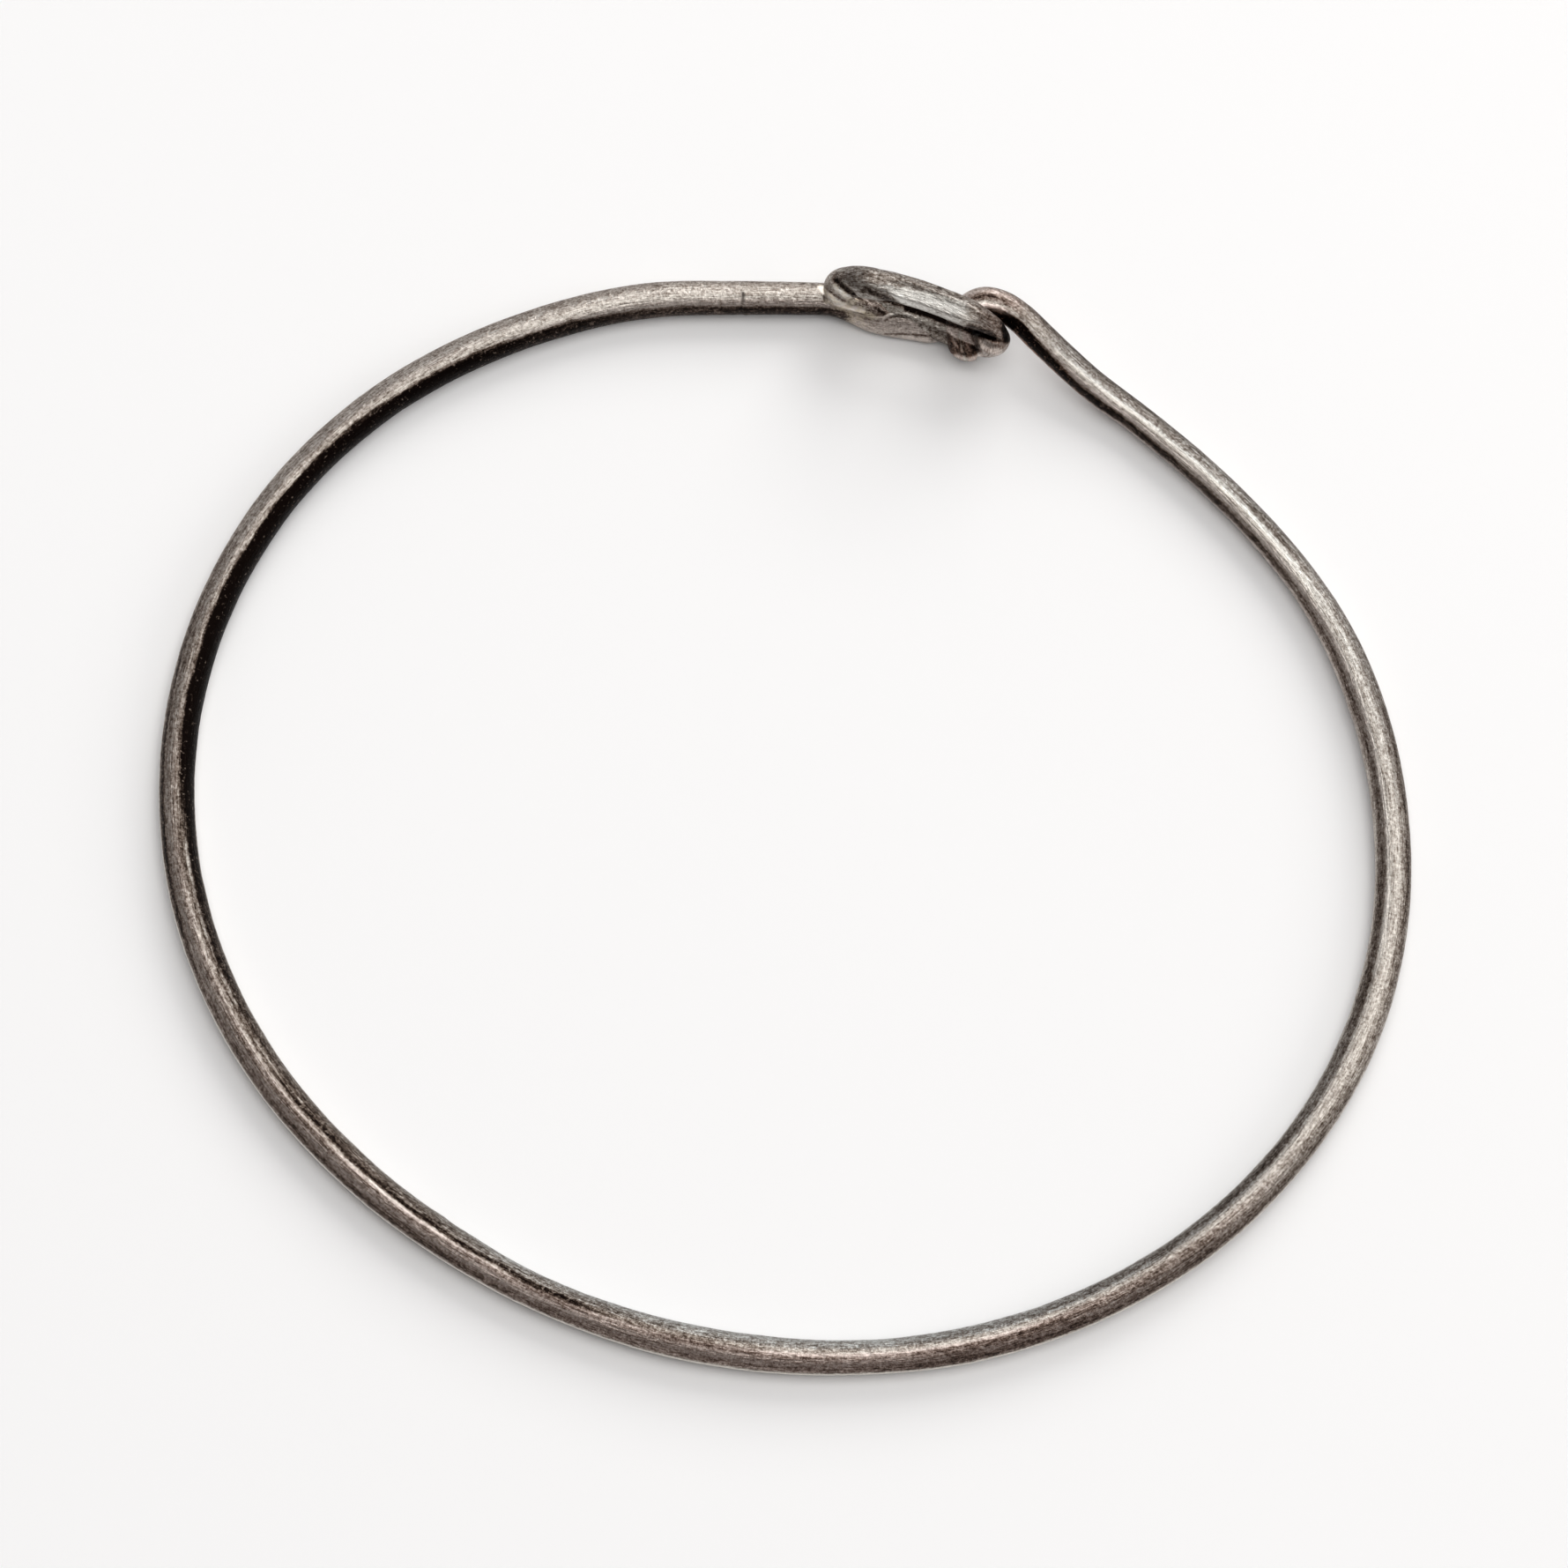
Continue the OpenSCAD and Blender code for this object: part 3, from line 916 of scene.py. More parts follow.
    def oval(self) -> list[list[float]]:
        """Rows of the oval, a chain of arcs.

        Returns:
            Rows of x, y, z, across, tall, roll, from the middle of the oval.
        """
        rows, (x, y), heading, gone = [], self.start, self.heading, 0.0
        for i, (radius, turn) in enumerate(self.arcs):
            count = max(2, math.ceil(radius * math.radians(turn) / self.step))
            for j in range(min(i, 1), count + 1):
                a, h = math.radians(heading + turn * j / count), math.radians(heading)
                d = gone + radius * math.radians(turn) * j / count
                inward, across = (float(between(self.worked, np.array([d]), k)[0]) for k in (1, 2))
                rows.append(
                    [
                        x + radius * (math.sin(a) - math.sin(h)) - inward * math.sin(a),
                        y - radius * (math.cos(a) - math.cos(h)) + inward * math.cos(a),
                        WIRE_Z,
                        across,
                        min(across, WIRE_D - self.clear),
                        0.0,
                    ]
                )
            end = math.radians(heading + turn)
            x += radius * (math.sin(end) - math.sin(math.radians(heading)))
            y -= radius * (math.cos(end) - math.cos(math.radians(heading)))
            heading += turn
            gone += radius * math.radians(turn)
        return rows

    def line(self) -> Line:
        """The whole centre line. Notes where the oval starts and how far from there the hook ends.

        Returns:
            The line from the tongue's cut end to the hook's tip.
        """
        oval, tongue, hook = self.oval(), self.from_eye(self.tongue()), self.from_eye(self.hook())
        first = [self.beyond(tongue[0], tongue[1]), *tongue, oval[0], oval[self.lead]]
        final = [oval[-self.lead], oval[-1], *hook, self.beyond(hook[-1], hook[-2])]
        start, end = smooth_rows(first, self.fine), smooth_rows(final, self.fine)
        rows = np.concatenate([start, np.array(oval), end[1:], [hook[-1]]])
        rows[:, 0] -= MID_X
        rows[:, 1] -= MID_Y
        outward = np.full((len(rows), 3), np.nan)
        outward[len(rows) - 1 - (self.square_rows - 1) * self.fine :] = self.along_eye
        line = Line(rows, outward)
        self.zero = float(line.marks[len(start)])
        self.end = line.length - self.zero
        return line

    def from_eye(self, rows: list[list[float]]) -> list[list[float]]:
        """Moves rows given from the eye's foot to the middle of the oval."""
        return [[r[0] + EYE_X, r[1] + EYE_Y, *r[2:]] for r in rows]

    def beyond(self, end: list[float], last: list[float]) -> list[float]:
        """A row past the end of a line, as far on as the last step."""
        return [2 * a - b for a, b in zip(end, last)]

    def rod(self) -> Piece:
        """Straight stock: a rod from x = 0 to 1 with many rings.

        Returns:
            The rod, with its ends closed.
        """
        deselect()
        bpy.ops.mesh.primitive_cylinder_add(
            vertices=self.sides,
            radius=1,
            depth=1,
            end_fill_type="NGON",
            location=(0.5, 0, 0),
            rotation=(0, math.pi / 2, 0),
        )
        rod = bpy.context.object
        bpy.ops.object.transform_apply(location=True, rotation=True, scale=True)
        bpy.context.tool_settings.mesh_select_mode = (False, True, False)
        for cuts in (self.first_cuts, self.second_cuts):
            with editing():
                bpy.ops.mesh.select_all(action="DESELECT")
            points = points_of(rod)
            ends = np.zeros(len(rod.data.edges) * 2, np.int32)
            rod.data.edges.foreach_get("vertices", ends)
            ends = ends.reshape(-1, 2)
            along = np.abs(points[ends[:, 0], 0] - points[ends[:, 1], 0]) > self.tiny
            rod.data.edges.foreach_set("select", along)
            with editing():
                bpy.ops.mesh.subdivide(number_cuts=cuts)
        return rod

    def spacing(self, share: np.ndarray, length: float) -> np.ndarray:
        """Sets the rings closer at the two worked ends than round the oval.

        Args:
            share: places on the straight rod, from 0 to 1.
            length: the centre line's length.

        Returns:
            Distances along the centre line.
        """
        grid = np.linspace(0, length, self.samples)
        density = 1 + self.closer * rise(grid - self.zero, *self.close_start)
        density += self.closer * self.near_end(grid - self.zero, self.close_end)
        density += self.closest * mound(grid - self.zero, self.nick, self.close_nick)
        run = np.concatenate([[0], np.cumsum((density[1:] + density[:-1]) / 2)])
        return np.interp(share, run / run[-1], grid)

    def build(self) -> Piece:
        """Bends the straight stock to the centre line and works its surface.

        Returns:
            The finished wire.
        """
        line = self.line()
        rod = self.rod()
        points = points_of(rod)
        at = self.spacing(points[:, 0], line.length)
        round_ = np.degrees(np.arctan2(points[:, 2], points[:, 1])) % 360
        distance = at - self.zero
        lift = self.surface(distance, round_)
        skin = line.skin(at, round_, lift)
        dark = self.tip(skin, distance)
        lift += self.full * (1 - dark) * self.near_end(distance, self.flat_from)
        lift -= marked(skin)[0] * rise(distance, *self.cut_from)
        skin = line.skin(at, round_, lift)
        place_points(rod, skin * MM)
        turn = np.radians(round_)
        stock = np.stack([distance, np.cos(turn) * WIRE_D / 2, np.sin(turn) * WIRE_D / 2], 1)
        # The hammered end's streaks run along the eye
        along, out = seen(skin)
        hammered = self.near_end(distance, self.dressed_from) * (1 - dark) > 0.5
        stock[hammered] = np.stack([along, out * self.streak, skin[:, 2]], 1)[hammered]
        write_layer(rod, Layer.STOCK, stock)
        self.dress(rod, skin, distance, round_)
        finish_mesh(rod, "wire")
        return rod

    def surface(self, distance: np.ndarray, round_: np.ndarray) -> np.ndarray:
        """Works the surface: unevenness, nick, bulges, the hook's crest and the tongue's ripple.

        Args:
            distance: distances from the oval's start.
            round_: angles round the wire.

        Returns:
            How far each place stands off the round section.
        """
        lift = sum(size * waves(distance, round_, lengths, seed) for size, lengths, seed in self.uneven)
        facing = rise(np.cos(np.radians(round_ - self.nick_side)), *self.nick_facing)
        for shift, height in self.nick_rows:
            lift += height * mound(distance, self.nick + shift, self.nick_w) * facing
        height, reach, middle, sweep = self.bulge
        for spot in self.bulges:
            side = mound((round_ + 180) % 360 - 180, middle, sweep)
            lift += height * mound(distance, spot, reach) * side
        crest = mound(round_, np.interp(distance, *self.crest), self.crest_reach)
        lift += self.crest_h * crest * band(distance, *self.crest_span)
        place, angle, width, height, reach = self.ripple
        ripple = np.hypot(distance - place, (round_ - angle) * self.degree)
        lift += height * np.cos(ripple * 2 * np.pi / width) * mound(ripple, 0, reach)
        return lift

    def tip(self, skin: np.ndarray, distance: np.ndarray) -> np.ndarray:
        """The flattened tip, below its shoulder.

        Args:
            skin: points of the surface.
            distance: each point's distance from the oval's start.

        Returns:
            1 on the tip and 0 above its shoulder.
        """
        along, out = seen(skin)
        below = rise(out - between(SHOULDER, along, 1), *self.shoulder)
        return below * self.near_end(distance, self.flat_from)

    def near_end(self, distance: np.ndarray, start: tuple[float, float]) -> np.ndarray:
        """A smooth step before the hook's end.

        Args:
            distance: distances from the oval's start.
            start: how far before the end the step starts and is whole.

        Returns:
            0 along the wire and 1 at the hook's end.
        """
        return rise(distance, self.end - start[0], self.end - start[1])

    def dress(self, rod: Piece, skin: np.ndarray, distance: np.ndarray, round_: np.ndarray) -> None:
        """Says where the tarnish with its painted shade and painted highlights, the bloom and the solder
        lie.

        Args:
            rod: the wire.
            skin: its vertices in millimetres.
            distance: each vertex's distance from the oval's start.
            round_: each vertex's angle round the wire.
        """
        inner = np.where(round_ > 270, round_ - 360, round_)
        dark = self.tip(skin, distance)
        hooked = self.near_end(distance, self.dressed_from)
        tarnish_and_painted_light = self.tarnish_and_painted_light(distance, round_, inner)
        # Below its shoulder the tip is painted black as painted shade
        tarnish_and_painted_light += (self.tip_tone + self.tip_shade * dark - tarnish_and_painted_light) * hooked
        _, lines_and_painted_light, solder = marked(skin)
        on_tongue = rise(distance, *self.marks_from)
        write_layer(rod, Layer.TARNISH, tarnish_and_painted_light + lines_and_painted_light * (on_tongue + hooked))
        heated = rise(distance, *self.bloom_from) - self.near_end(distance, self.bloom_to)
        bloom = self.bloom * heated * mound(inner, *self.bloom_at)
        write_layer(rod, Layer.BLOOM, bloom + self.tip_bloom * dark)
        cool, warm = (between(self.hues, distance, k) for k in (1, 2))
        hue = cool * rise(inner, *self.cool_side) + warm * band(round_, *self.warm_side)
        write_layer(rod, Layer.HUE, hue)
        cream = self.cream * band(distance, *self.cream_span)
        write_layer(rod, Layer.SOLDER, np.maximum(cream, solder * on_tongue))

    def tarnish_and_painted_light(self, distance: np.ndarray, round_: np.ndarray, inner: np.ndarray) -> np.ndarray:
        """Tarnish of the oval and the shank, by the tables, with the black band's painted dark
        reflection and the painted highlights among the drawn lines.

        Args:
            distance: distances from the oval's start.
            round_: angles round the wire, from 0 to 360.
            inner: the same angles, from -90 to 270.

        Returns:
            The amount of tarnish with its painted light, less than 0 where the metal is worn or painted
            lighter.
        """
        wander, ragged = (
            size * waves(distance, np.zeros_like(distance), lengths, seed)
            for size, lengths, seed in (self.wander, self.ragged)
        )
        # The black band of the inner side: partly tarnish, partly a painted dark reflection
        low, high, black = (between(self.oxide_and_dark_reflection, distance, k) for k in (1, 2, 3))
        first, last = self.black_band_soft
        tarnish_and_painted_light = black * rise(inner + wander + ragged, high + last, high - last)
        tarnish_and_painted_light *= rise(inner, low - first, low + first)
        low, high, deep = (between(self.brown, distance, k) for k in (1, 2, 3))
        first, last = self.brown_soft
        brown = deep * rise(round_ + wander, low - first, low + first)
        tarnish_and_painted_light += brown * rise(round_, high + last, high - last)
        tarnish_and_painted_light += between(self.top, distance, 1) * mound(round_, *self.top_at)
        under, edge = (between(self.outer, distance, k) for k in (1, 2))
        tarnish_and_painted_light += under * mound(round_, *self.outer_at) - edge * band(round_, *self.pale_edge)
        last = self.last_tone * rise(distance, *self.last_from)
        tarnish_and_painted_light += last * band(round_, *self.last_edge)
        # Drawn lines, among them painted highlights along the wire and the hook
        for start, stop, first, last, breadth, amount in self.lines_and_painted_light:
            share = np.clip((distance - start) / (stop - start), 0, 1)
            angle = first + (last - first) * share + wander
            length = band(distance, (start, start + self.point), (stop, stop - self.point))
            tarnish_and_painted_light += amount * mound(round_, angle, breadth * self.soft) * length
        return tarnish_and_painted_light


def finish_mesh(piece: Piece, name: str, crease: float = 50) -> None:
    """Names a piece, turns its faces outwards and shades it smooth.

    Args:
        piece: the piece.
        name: its name.
        crease: the angle from which an edge stays sharp.
    """
    take(piece)
    with editing():
        bpy.ops.mesh.select_all(action="SELECT")
        bpy.ops.mesh.normals_make_consistent(inside=False)
    bpy.ops.object.shade_smooth_by_angle(angle=math.radians(crease))
    piece.name = piece.data.name = name


@dataclass
class Eye:
    """The long closed eye, standing on edge and bent to follow the oval.

    Angle 0 round its wire looks outwards, 90 into the eye's hole and 180 to the inside of the oval.
    """

    # Length over all, height between the two strands' middles, thickness of the wire
    length: float = 10.4
    height: float = 3.5
    wire: float = 1.75
    # Radius that it is bent to, how far it leans outwards and turns, in degrees
    bend: float = 32.0
    lean: float = 1.5
    turn: float = -2.5
    # Gap under its foot
    foot_gap: float = 0.02
    # Rings round the eye and faces round its wire
    rings: int = 640
    sides: int = 96
    # Radius of the torus's tube before it is drawn out, and rows of each quarter of the eye
    tube: float = 0.25
    quarter: int = 60
    # Unevenness round the eye, which counts as this long: size, wavelengths, seed
    round_trip: float = 24.0
    uneven: tuple = ((0.014, (6.0, 4.0, 3.0, 2.0), 11), (0.008, (1.0, 0.8, 0.6), 12))
    # How much shorter its streaks are than the wire's, and what its width is divided by for them
    streak_at: float = 2.2
    streak_d: float = 2.4
    # Tarnish: all over, painted shade towards the hole between the strands, then tarnish on the upper
    # strand's outer side, at the right end, and on the lower strand's inner side
    film: float = 0.12
    hole_shade: float = 0.6
    upper_dark: float = 0.15
    right_end: float = 0.08
    lower_dark: float = 0.30
    # Bloom at both ends, hue at the right end and on the upper strand, solder of the seam
    bloom: float = 0.14
    end_hue: float = 0.5
    upper_hue: float = -0.35
    seam: float = 0.8
    # Where these start and are whole, by height, place along the eye or angle round its wire
    upper_z: tuple[float, float] = (3.0, 4.2)
    lower_z: tuple[float, float] = (2.2, 1.2)
    hole_side: Table = ((20.0, 50.0), (98.0, 86.0))
    hole_x: tuple[float, float] = (6.0, 4.0)
    upper_side: tuple[float, float] = (242.0, 274.0)
    right_x: tuple[float, float] = (2.6, 3.6)
    right_z: tuple[float, float] = (2.4, 3.2)
    lower_x: tuple[float, float] = (2.9, 2.3)
    bloom_x: tuple[float, float] = (3.0, 4.6)
    end_hue_x: tuple[float, float] = (2.4, 4.2)
    upper_hue_x: tuple[float, float] = (3.4, 1.8)
    seam_x: tuple[float, float] = (-2.8, -3.8)
    seam_z: tuple[float, float] = (3.0, 2.0)
    # How far round from the middle of the inner side the seam reaches, and where that side's
    # tarnish lies on the lower strand: angle, reach
    seam_reach: tuple[float, float] = (110.0, 70.0)
    lower_at: tuple[float, float] = (190.0, 34.0)
    # Flats hammered on the upper strand: tilt outwards, first and last place along it, depth
    facets: Table = (
        (-17, -2.5, 3.9, 0.21),
        (8, -3.6, 1.6, 0.06),
        (40, -2.0, 4.0, 0.07),
    )
    # A flat narrows to a point over this length, and lies between these heights of the wire
    taper: float = 2.0
    flat_z: tuple[float, float] = (3.4, 4.3)
    # The hammered wire round the eye: foot 0 to 1, right end to 2, top to 3, left end to 4, with how
    # far it lies outwards, its width and its depth
    hammered: Table = (
        (0.0, 0.0, 1.75, 1.75),
        (1.48, 0.0, 1.75, 1.75),
        (1.60, 0.24, 1.02, 1.40),
        (1.68, 0.26, 1.05, 1.40),
        (1.80, 0.16, 1.22, 1.55),
        (2.00, 0.12, 1.50, 1.75),
        (2.50, 0.12, 1.49, 1.75),
        (2.77, 0.08, 1.54, 1.75),
        (3.00, -0.05, 1.68, 1.75),
        (3.25, -0.10, 1.70, 1.75),
        (4.00, 0.0, 1.75, 1.75),
    )

    def line(self) -> Line:
        """The eye's centre line.

        Returns:
            A closed line: along the foot, up, back along the top and down.
        """
        r, steps = self.height / 2, self.quarter
        half = (self.length - self.wire) / 2 - r
        shares = [i / steps for i in range(steps)]
        arc = [(math.pi * i / steps, i / steps) for i in range(steps)]
        plan = [(-half + 2 * half * share, 0.0, share) for share in shares]
        plan += [(half + r * math.sin(a), r - r * math.cos(a), 1 + share) for a, share in arc]
        plan += [(half - 2 * half * share, self.height, 2 + share) for share in shares]
        plan += [(-half - r * math.sin(a), r + r * math.cos(a), 3 + share) for a, share in arc]
        rows, outward = [], []
        for along, up, place in plan:
            t, t0 = along / self.bend - math.radians(self.turn), math.radians(self.turn)
            row = [float(between(self.hammered, np.array([place]), k)[0]) for k in (1, 2, 3)]
            away, width, depth = row
            x = self.bend * (math.sin(t) + math.sin(t0)) + away * math.sin(t)
            y = self.bend * (math.cos(t) - math.cos(t0)) + away * math.cos(t)
            y += up * math.tan(math.radians(self.lean))
            z = self.wire / 2 + self.foot_gap + up
            rows.append([x + FOOT_X, y + FOOT_Y, z, width, depth, 0.0])
            outward.append([math.sin(t), math.cos(t), 0.0])
        return Line(np.array(rows), np.array(outward), closed=True)

    def build(self) -> Piece:
        """Draws a torus out to the long eye and works its surface.

        Returns:
            The finished eye.
        """
        deselect()
        bpy.ops.mesh.primitive_torus_add(
            major_segments=self.rings,
            minor_segments=self.sides,
            major_radius=1,
            minor_radius=self.tube,
        )
        eye = bpy.context.object
        points = points_of(eye)
        line = self.line()
        at = (np.arctan2(points[:, 1], points[:, 0]) % (2 * np.pi)) / (2 * np.pi) * line.length
        out = (np.hypot(points[:, 0], points[:, 1]) - 1) / self.tube
        round_ = np.degrees(np.arctan2(-out, -points[:, 2] / self.tube)) % 360
        spine = line.read(line.rows[:, :3], at)
        x, z = spine[:, 0] - FOOT_X, spine[:, 2]
        loop = at / line.length * self.round_trip
        lift = sum(size * waves(loop, round_, lengths, seed) for size, lengths, seed in self.uneven)
        upper = rise(z, *self.flat_z)
        for tilt, low, high, depth in self.facets:
            height = np.cos(np.radians(round_ - 270 - tilt)) * self.wire / 2
            cut = depth * band(x, (low, low + self.taper), (high, high - self.taper))
            lift -= np.clip(height - (self.wire / 2 - cut), 0, None) * upper
        lift -= marked(line.skin(at, round_, lift))[0]
        skin = line.skin(at, round_, lift)
        place_points(eye, skin * MM)
        turn, thin = np.radians(round_), self.wire / self.streak_d
        stock = np.stack([at * self.streak_at, np.cos(turn) * thin, np.sin(turn) * thin], 1)
        write_layer(eye, Layer.STOCK, stock)
        self.dress(eye, skin, x, z, round_)
        finish_mesh(eye, "eye")
        return eye

    def dress(
        self,
        eye: Piece,
        skin: np.ndarray,
        x: np.ndarray,
        z: np.ndarray,
        round_: np.ndarray,
    ) -> None:
        """Says where the tarnish, the painted shade towards the hole, the worn metal with the painted
        highlights, and the solder lie.

        Args:
            eye: the eye.
            skin: its vertices in millimetres.
            x: each vertex's place along it.
            z: height of the wire's centre there.
            round_: each vertex's angle round its wire.
        """
        upper, lower = rise(z, *self.upper_z), rise(z, *self.lower_z)
        end = np.abs(x)
        _, lines_and_painted_light, solder = marked(skin)
        tarnish_and_painted_light = self.film + lines_and_painted_light
        # Painted shade on the sides that face the hole, between the strands
        tarnish_and_painted_light += self.hole_shade * band(round_, *self.hole_side) * rise(end, *self.hole_x)
        tarnish_and_painted_light += self.upper_dark * upper * rise(round_, *self.upper_side)
        tarnish_and_painted_light += self.right_end * rise(x, *self.right_x) * rise(z, *self.right_z)
        tarnish_and_painted_light += self.lower_dark * lower * mound(round_, *self.lower_at) * rise(x, *self.lower_x)
        write_layer(eye, Layer.TARNISH, tarnish_and_painted_light)
        write_layer(eye, Layer.BLOOM, self.bloom * rise(end, *self.bloom_x))
        hue = self.end_hue * rise(x, *self.end_hue_x)
        hue += self.upper_hue * upper * rise(x, *self.upper_hue_x)
        write_layer(eye, Layer.HUE, hue)
        seam = rise(x, *self.seam_x) * rise(z, *self.seam_z)
        seam *= rise(np.abs(round_ - 180), *self.seam_reach)
        write_layer(eye, Layer.SOLDER, np.maximum(self.seam * seam, solder))


@dataclass
class Solder:
    """The solder in the corner between the wire's end and the eye."""

    # Size of the melted mesh's cells, and how much and how often it is smoothed
    grain: float = 0.055
    ease: float = 0.5
    passes: int = 14
    # How far the copies of the wires shrink, so that only the joint shows
    shrink: float = 0.03
    # The joint ends below the eye's upper strand
    top: float = 2.9
    # Runs of solder, from the eye's foot: along, out, height, radius
    runs: tuple[Table, ...] = (
        ((-4.5, -0.5, 1.45, 0.46), (-3.5, -0.62, 1.40, 0.48), (-2.0, -0.66, 1.10, 0.42)),
        (
            (-4.75, -0.62, 1.70, 0.36),
            (-4.2, -0.60, 1.92, 0.46),
            (-3.2, -0.56, 1.88, 0.48),
            (-2.4, -0.52, 1.70, 0.40),
            (-1.6, -0.50, 1.40, 0.26),
        ),
    )
    # Distance between the drops of a run
    drop: float = 0.12
    # First and last place of the joint along the eye, and how far in it goes
    reach: tuple[float, float] = (-5.9, 2.4)
    inside: float = 20.0
    # Tarnish: all over, low down and towards the right; hue, and how creamy it is at the left;
    # then the places where these start and are whole
    film: float = 0.20
    low_down: float = 0.22
    rightwards: float = 0.12
    hue: float = 0.4
    cream: float = 0.7
    low_z: tuple[float, float] = (1.1, 0.4)
    right_x: tuple[float, float] = (-3.4, -2.4)
    cream_x: tuple[float, float] = (-2.4, -3.8)

    def build(self, wire: Piece, eye: Piece) -> Piece:
        """Casts the joint: copies of the two wires and the drops are melted together and smoothed.

        Args:
            wire: the finished wire.
            eye: the finished eye.

        Returns:
            The solder, which shows only where it stands out of the corners.
        """
        parts = []
        for source in (wire, eye):
            take(source)
            bpy.ops.object.duplicate()
            parts.append(bpy.context.object)
        for along, out, height, radius in self.drops():
            deselect()
            place = Vector((along + FOOT_X, out + FOOT_Y, height)) * MM
            bpy.ops.mesh.primitive_ico_sphere_add(subdivisions=2, radius=radius * MM, location=place)
            bpy.ops.object.transform_apply(location=True, rotation=True, scale=True)
            parts.append(bpy.context.object)
        for part in parts[:2]:
            self.trim(part)
            under = part.modifiers.new("under", "DISPLACE")
            under.strength, under.mid_level = -self.shrink * MM, 0
            bpy.ops.object.modifier_apply(modifier=under.name)
        solder = self.melt(parts)
        self.dress(solder)
        finish_mesh(solder, "solder")
        return solder

    def melt(self, parts: list[Piece]) -> Piece:
        """Joins the parts, melts them into one skin and lets it flow smooth.

        Args:
            parts: the copies of the wires and the drops.

        Returns:
            The solder, with none of the wires' attributes.
        """
        deselect()
        for part in parts:
            part.select_set(True)
        bpy.context.view_layer.objects.active = parts[0]
        bpy.ops.object.join()
        solder = bpy.context.object
        remesh = solder.modifiers.new("melt", "REMESH")
        remesh.mode = "VOXEL"
        remesh.voxel_size = self.grain * MM
        bpy.ops.object.modifier_apply(modifier=remesh.name)
        flow = solder.modifiers.new("flow", "SMOOTH")
        flow.factor = self.ease
        flow.iterations = self.passes
        bpy.ops.object.modifier_apply(modifier=flow.name)
        attributes = solder.data.attributes
        for layer in Layer:
            if layer.value in attributes:
                attributes.remove(attributes[layer.value])
        return solder

    def dress(self, solder: Piece) -> None:
        """Says where the tarnish and the cream lie, with the painted highlight along the cream edge.

        Args:
            solder: the solder.
        """
        points = points_of(solder) / MM
        x = points[:, 0] - FOOT_X
        _, lines_and_painted_light, cream = marked(points)
        tarnish_and_painted_light = self.film + self.low_down * rise(points[:, 2], *self.low_z)
        tarnish_and_painted_light += self.rightwards * rise(x, *self.right_x) + lines_and_painted_light
        write_layer(solder, Layer.STOCK, points)
        write_layer(solder, Layer.TARNISH, tarnish_and_painted_light)
        write_layer(solder, Layer.BLOOM, np.zeros(len(points)))
        write_layer(solder, Layer.HUE, np.full(len(points), self.hue))
        write_layer(solder, Layer.SOLDER, np.maximum(self.cream * rise(x, *self.cream_x), cream))

    def drops(self) -> list[tuple[float, float, float, float]]:
        """Drops close enough together to melt into even runs.

        Returns:
            Rows of along, out, height and radius.
        """
        drops = []
        for run in self.runs:
            at = np.arange(run[0][0], run[-1][0], self.drop)
            columns = [at] + [np.interp(at, [r[0] for r in run], [r[k] for r in run]) for k in (1, 2, 3)]
            drops += [tuple(float(v) for v in row) for row in zip(*columns)]
        return drops

    def trim(self, part: Piece) -> None:
        """Cuts a copy off at both ends of the joint and closes the cuts.

        Args:
            part: the copy.
        """
        take(part)
        low, high = (x + FOOT_X for x in self.reach)
        cuts = [
            ((low, 0, 0), (-1, 0, 0)),
            ((high, 0, 0), (1, 0, 0)),
            ((0, self.inside, 0), (0, -1, 0)),
            ((0, 0, self.top), (0, 0, 1)),
        ]
        for place, normal in cuts:
            cut = Vector(place) * MM
            with editing():
                bpy.ops.mesh.select_all(action="SELECT")
                bpy.ops.mesh.bisect(plane_co=cut, plane_no=normal, use_fill=True, clear_outer=True)


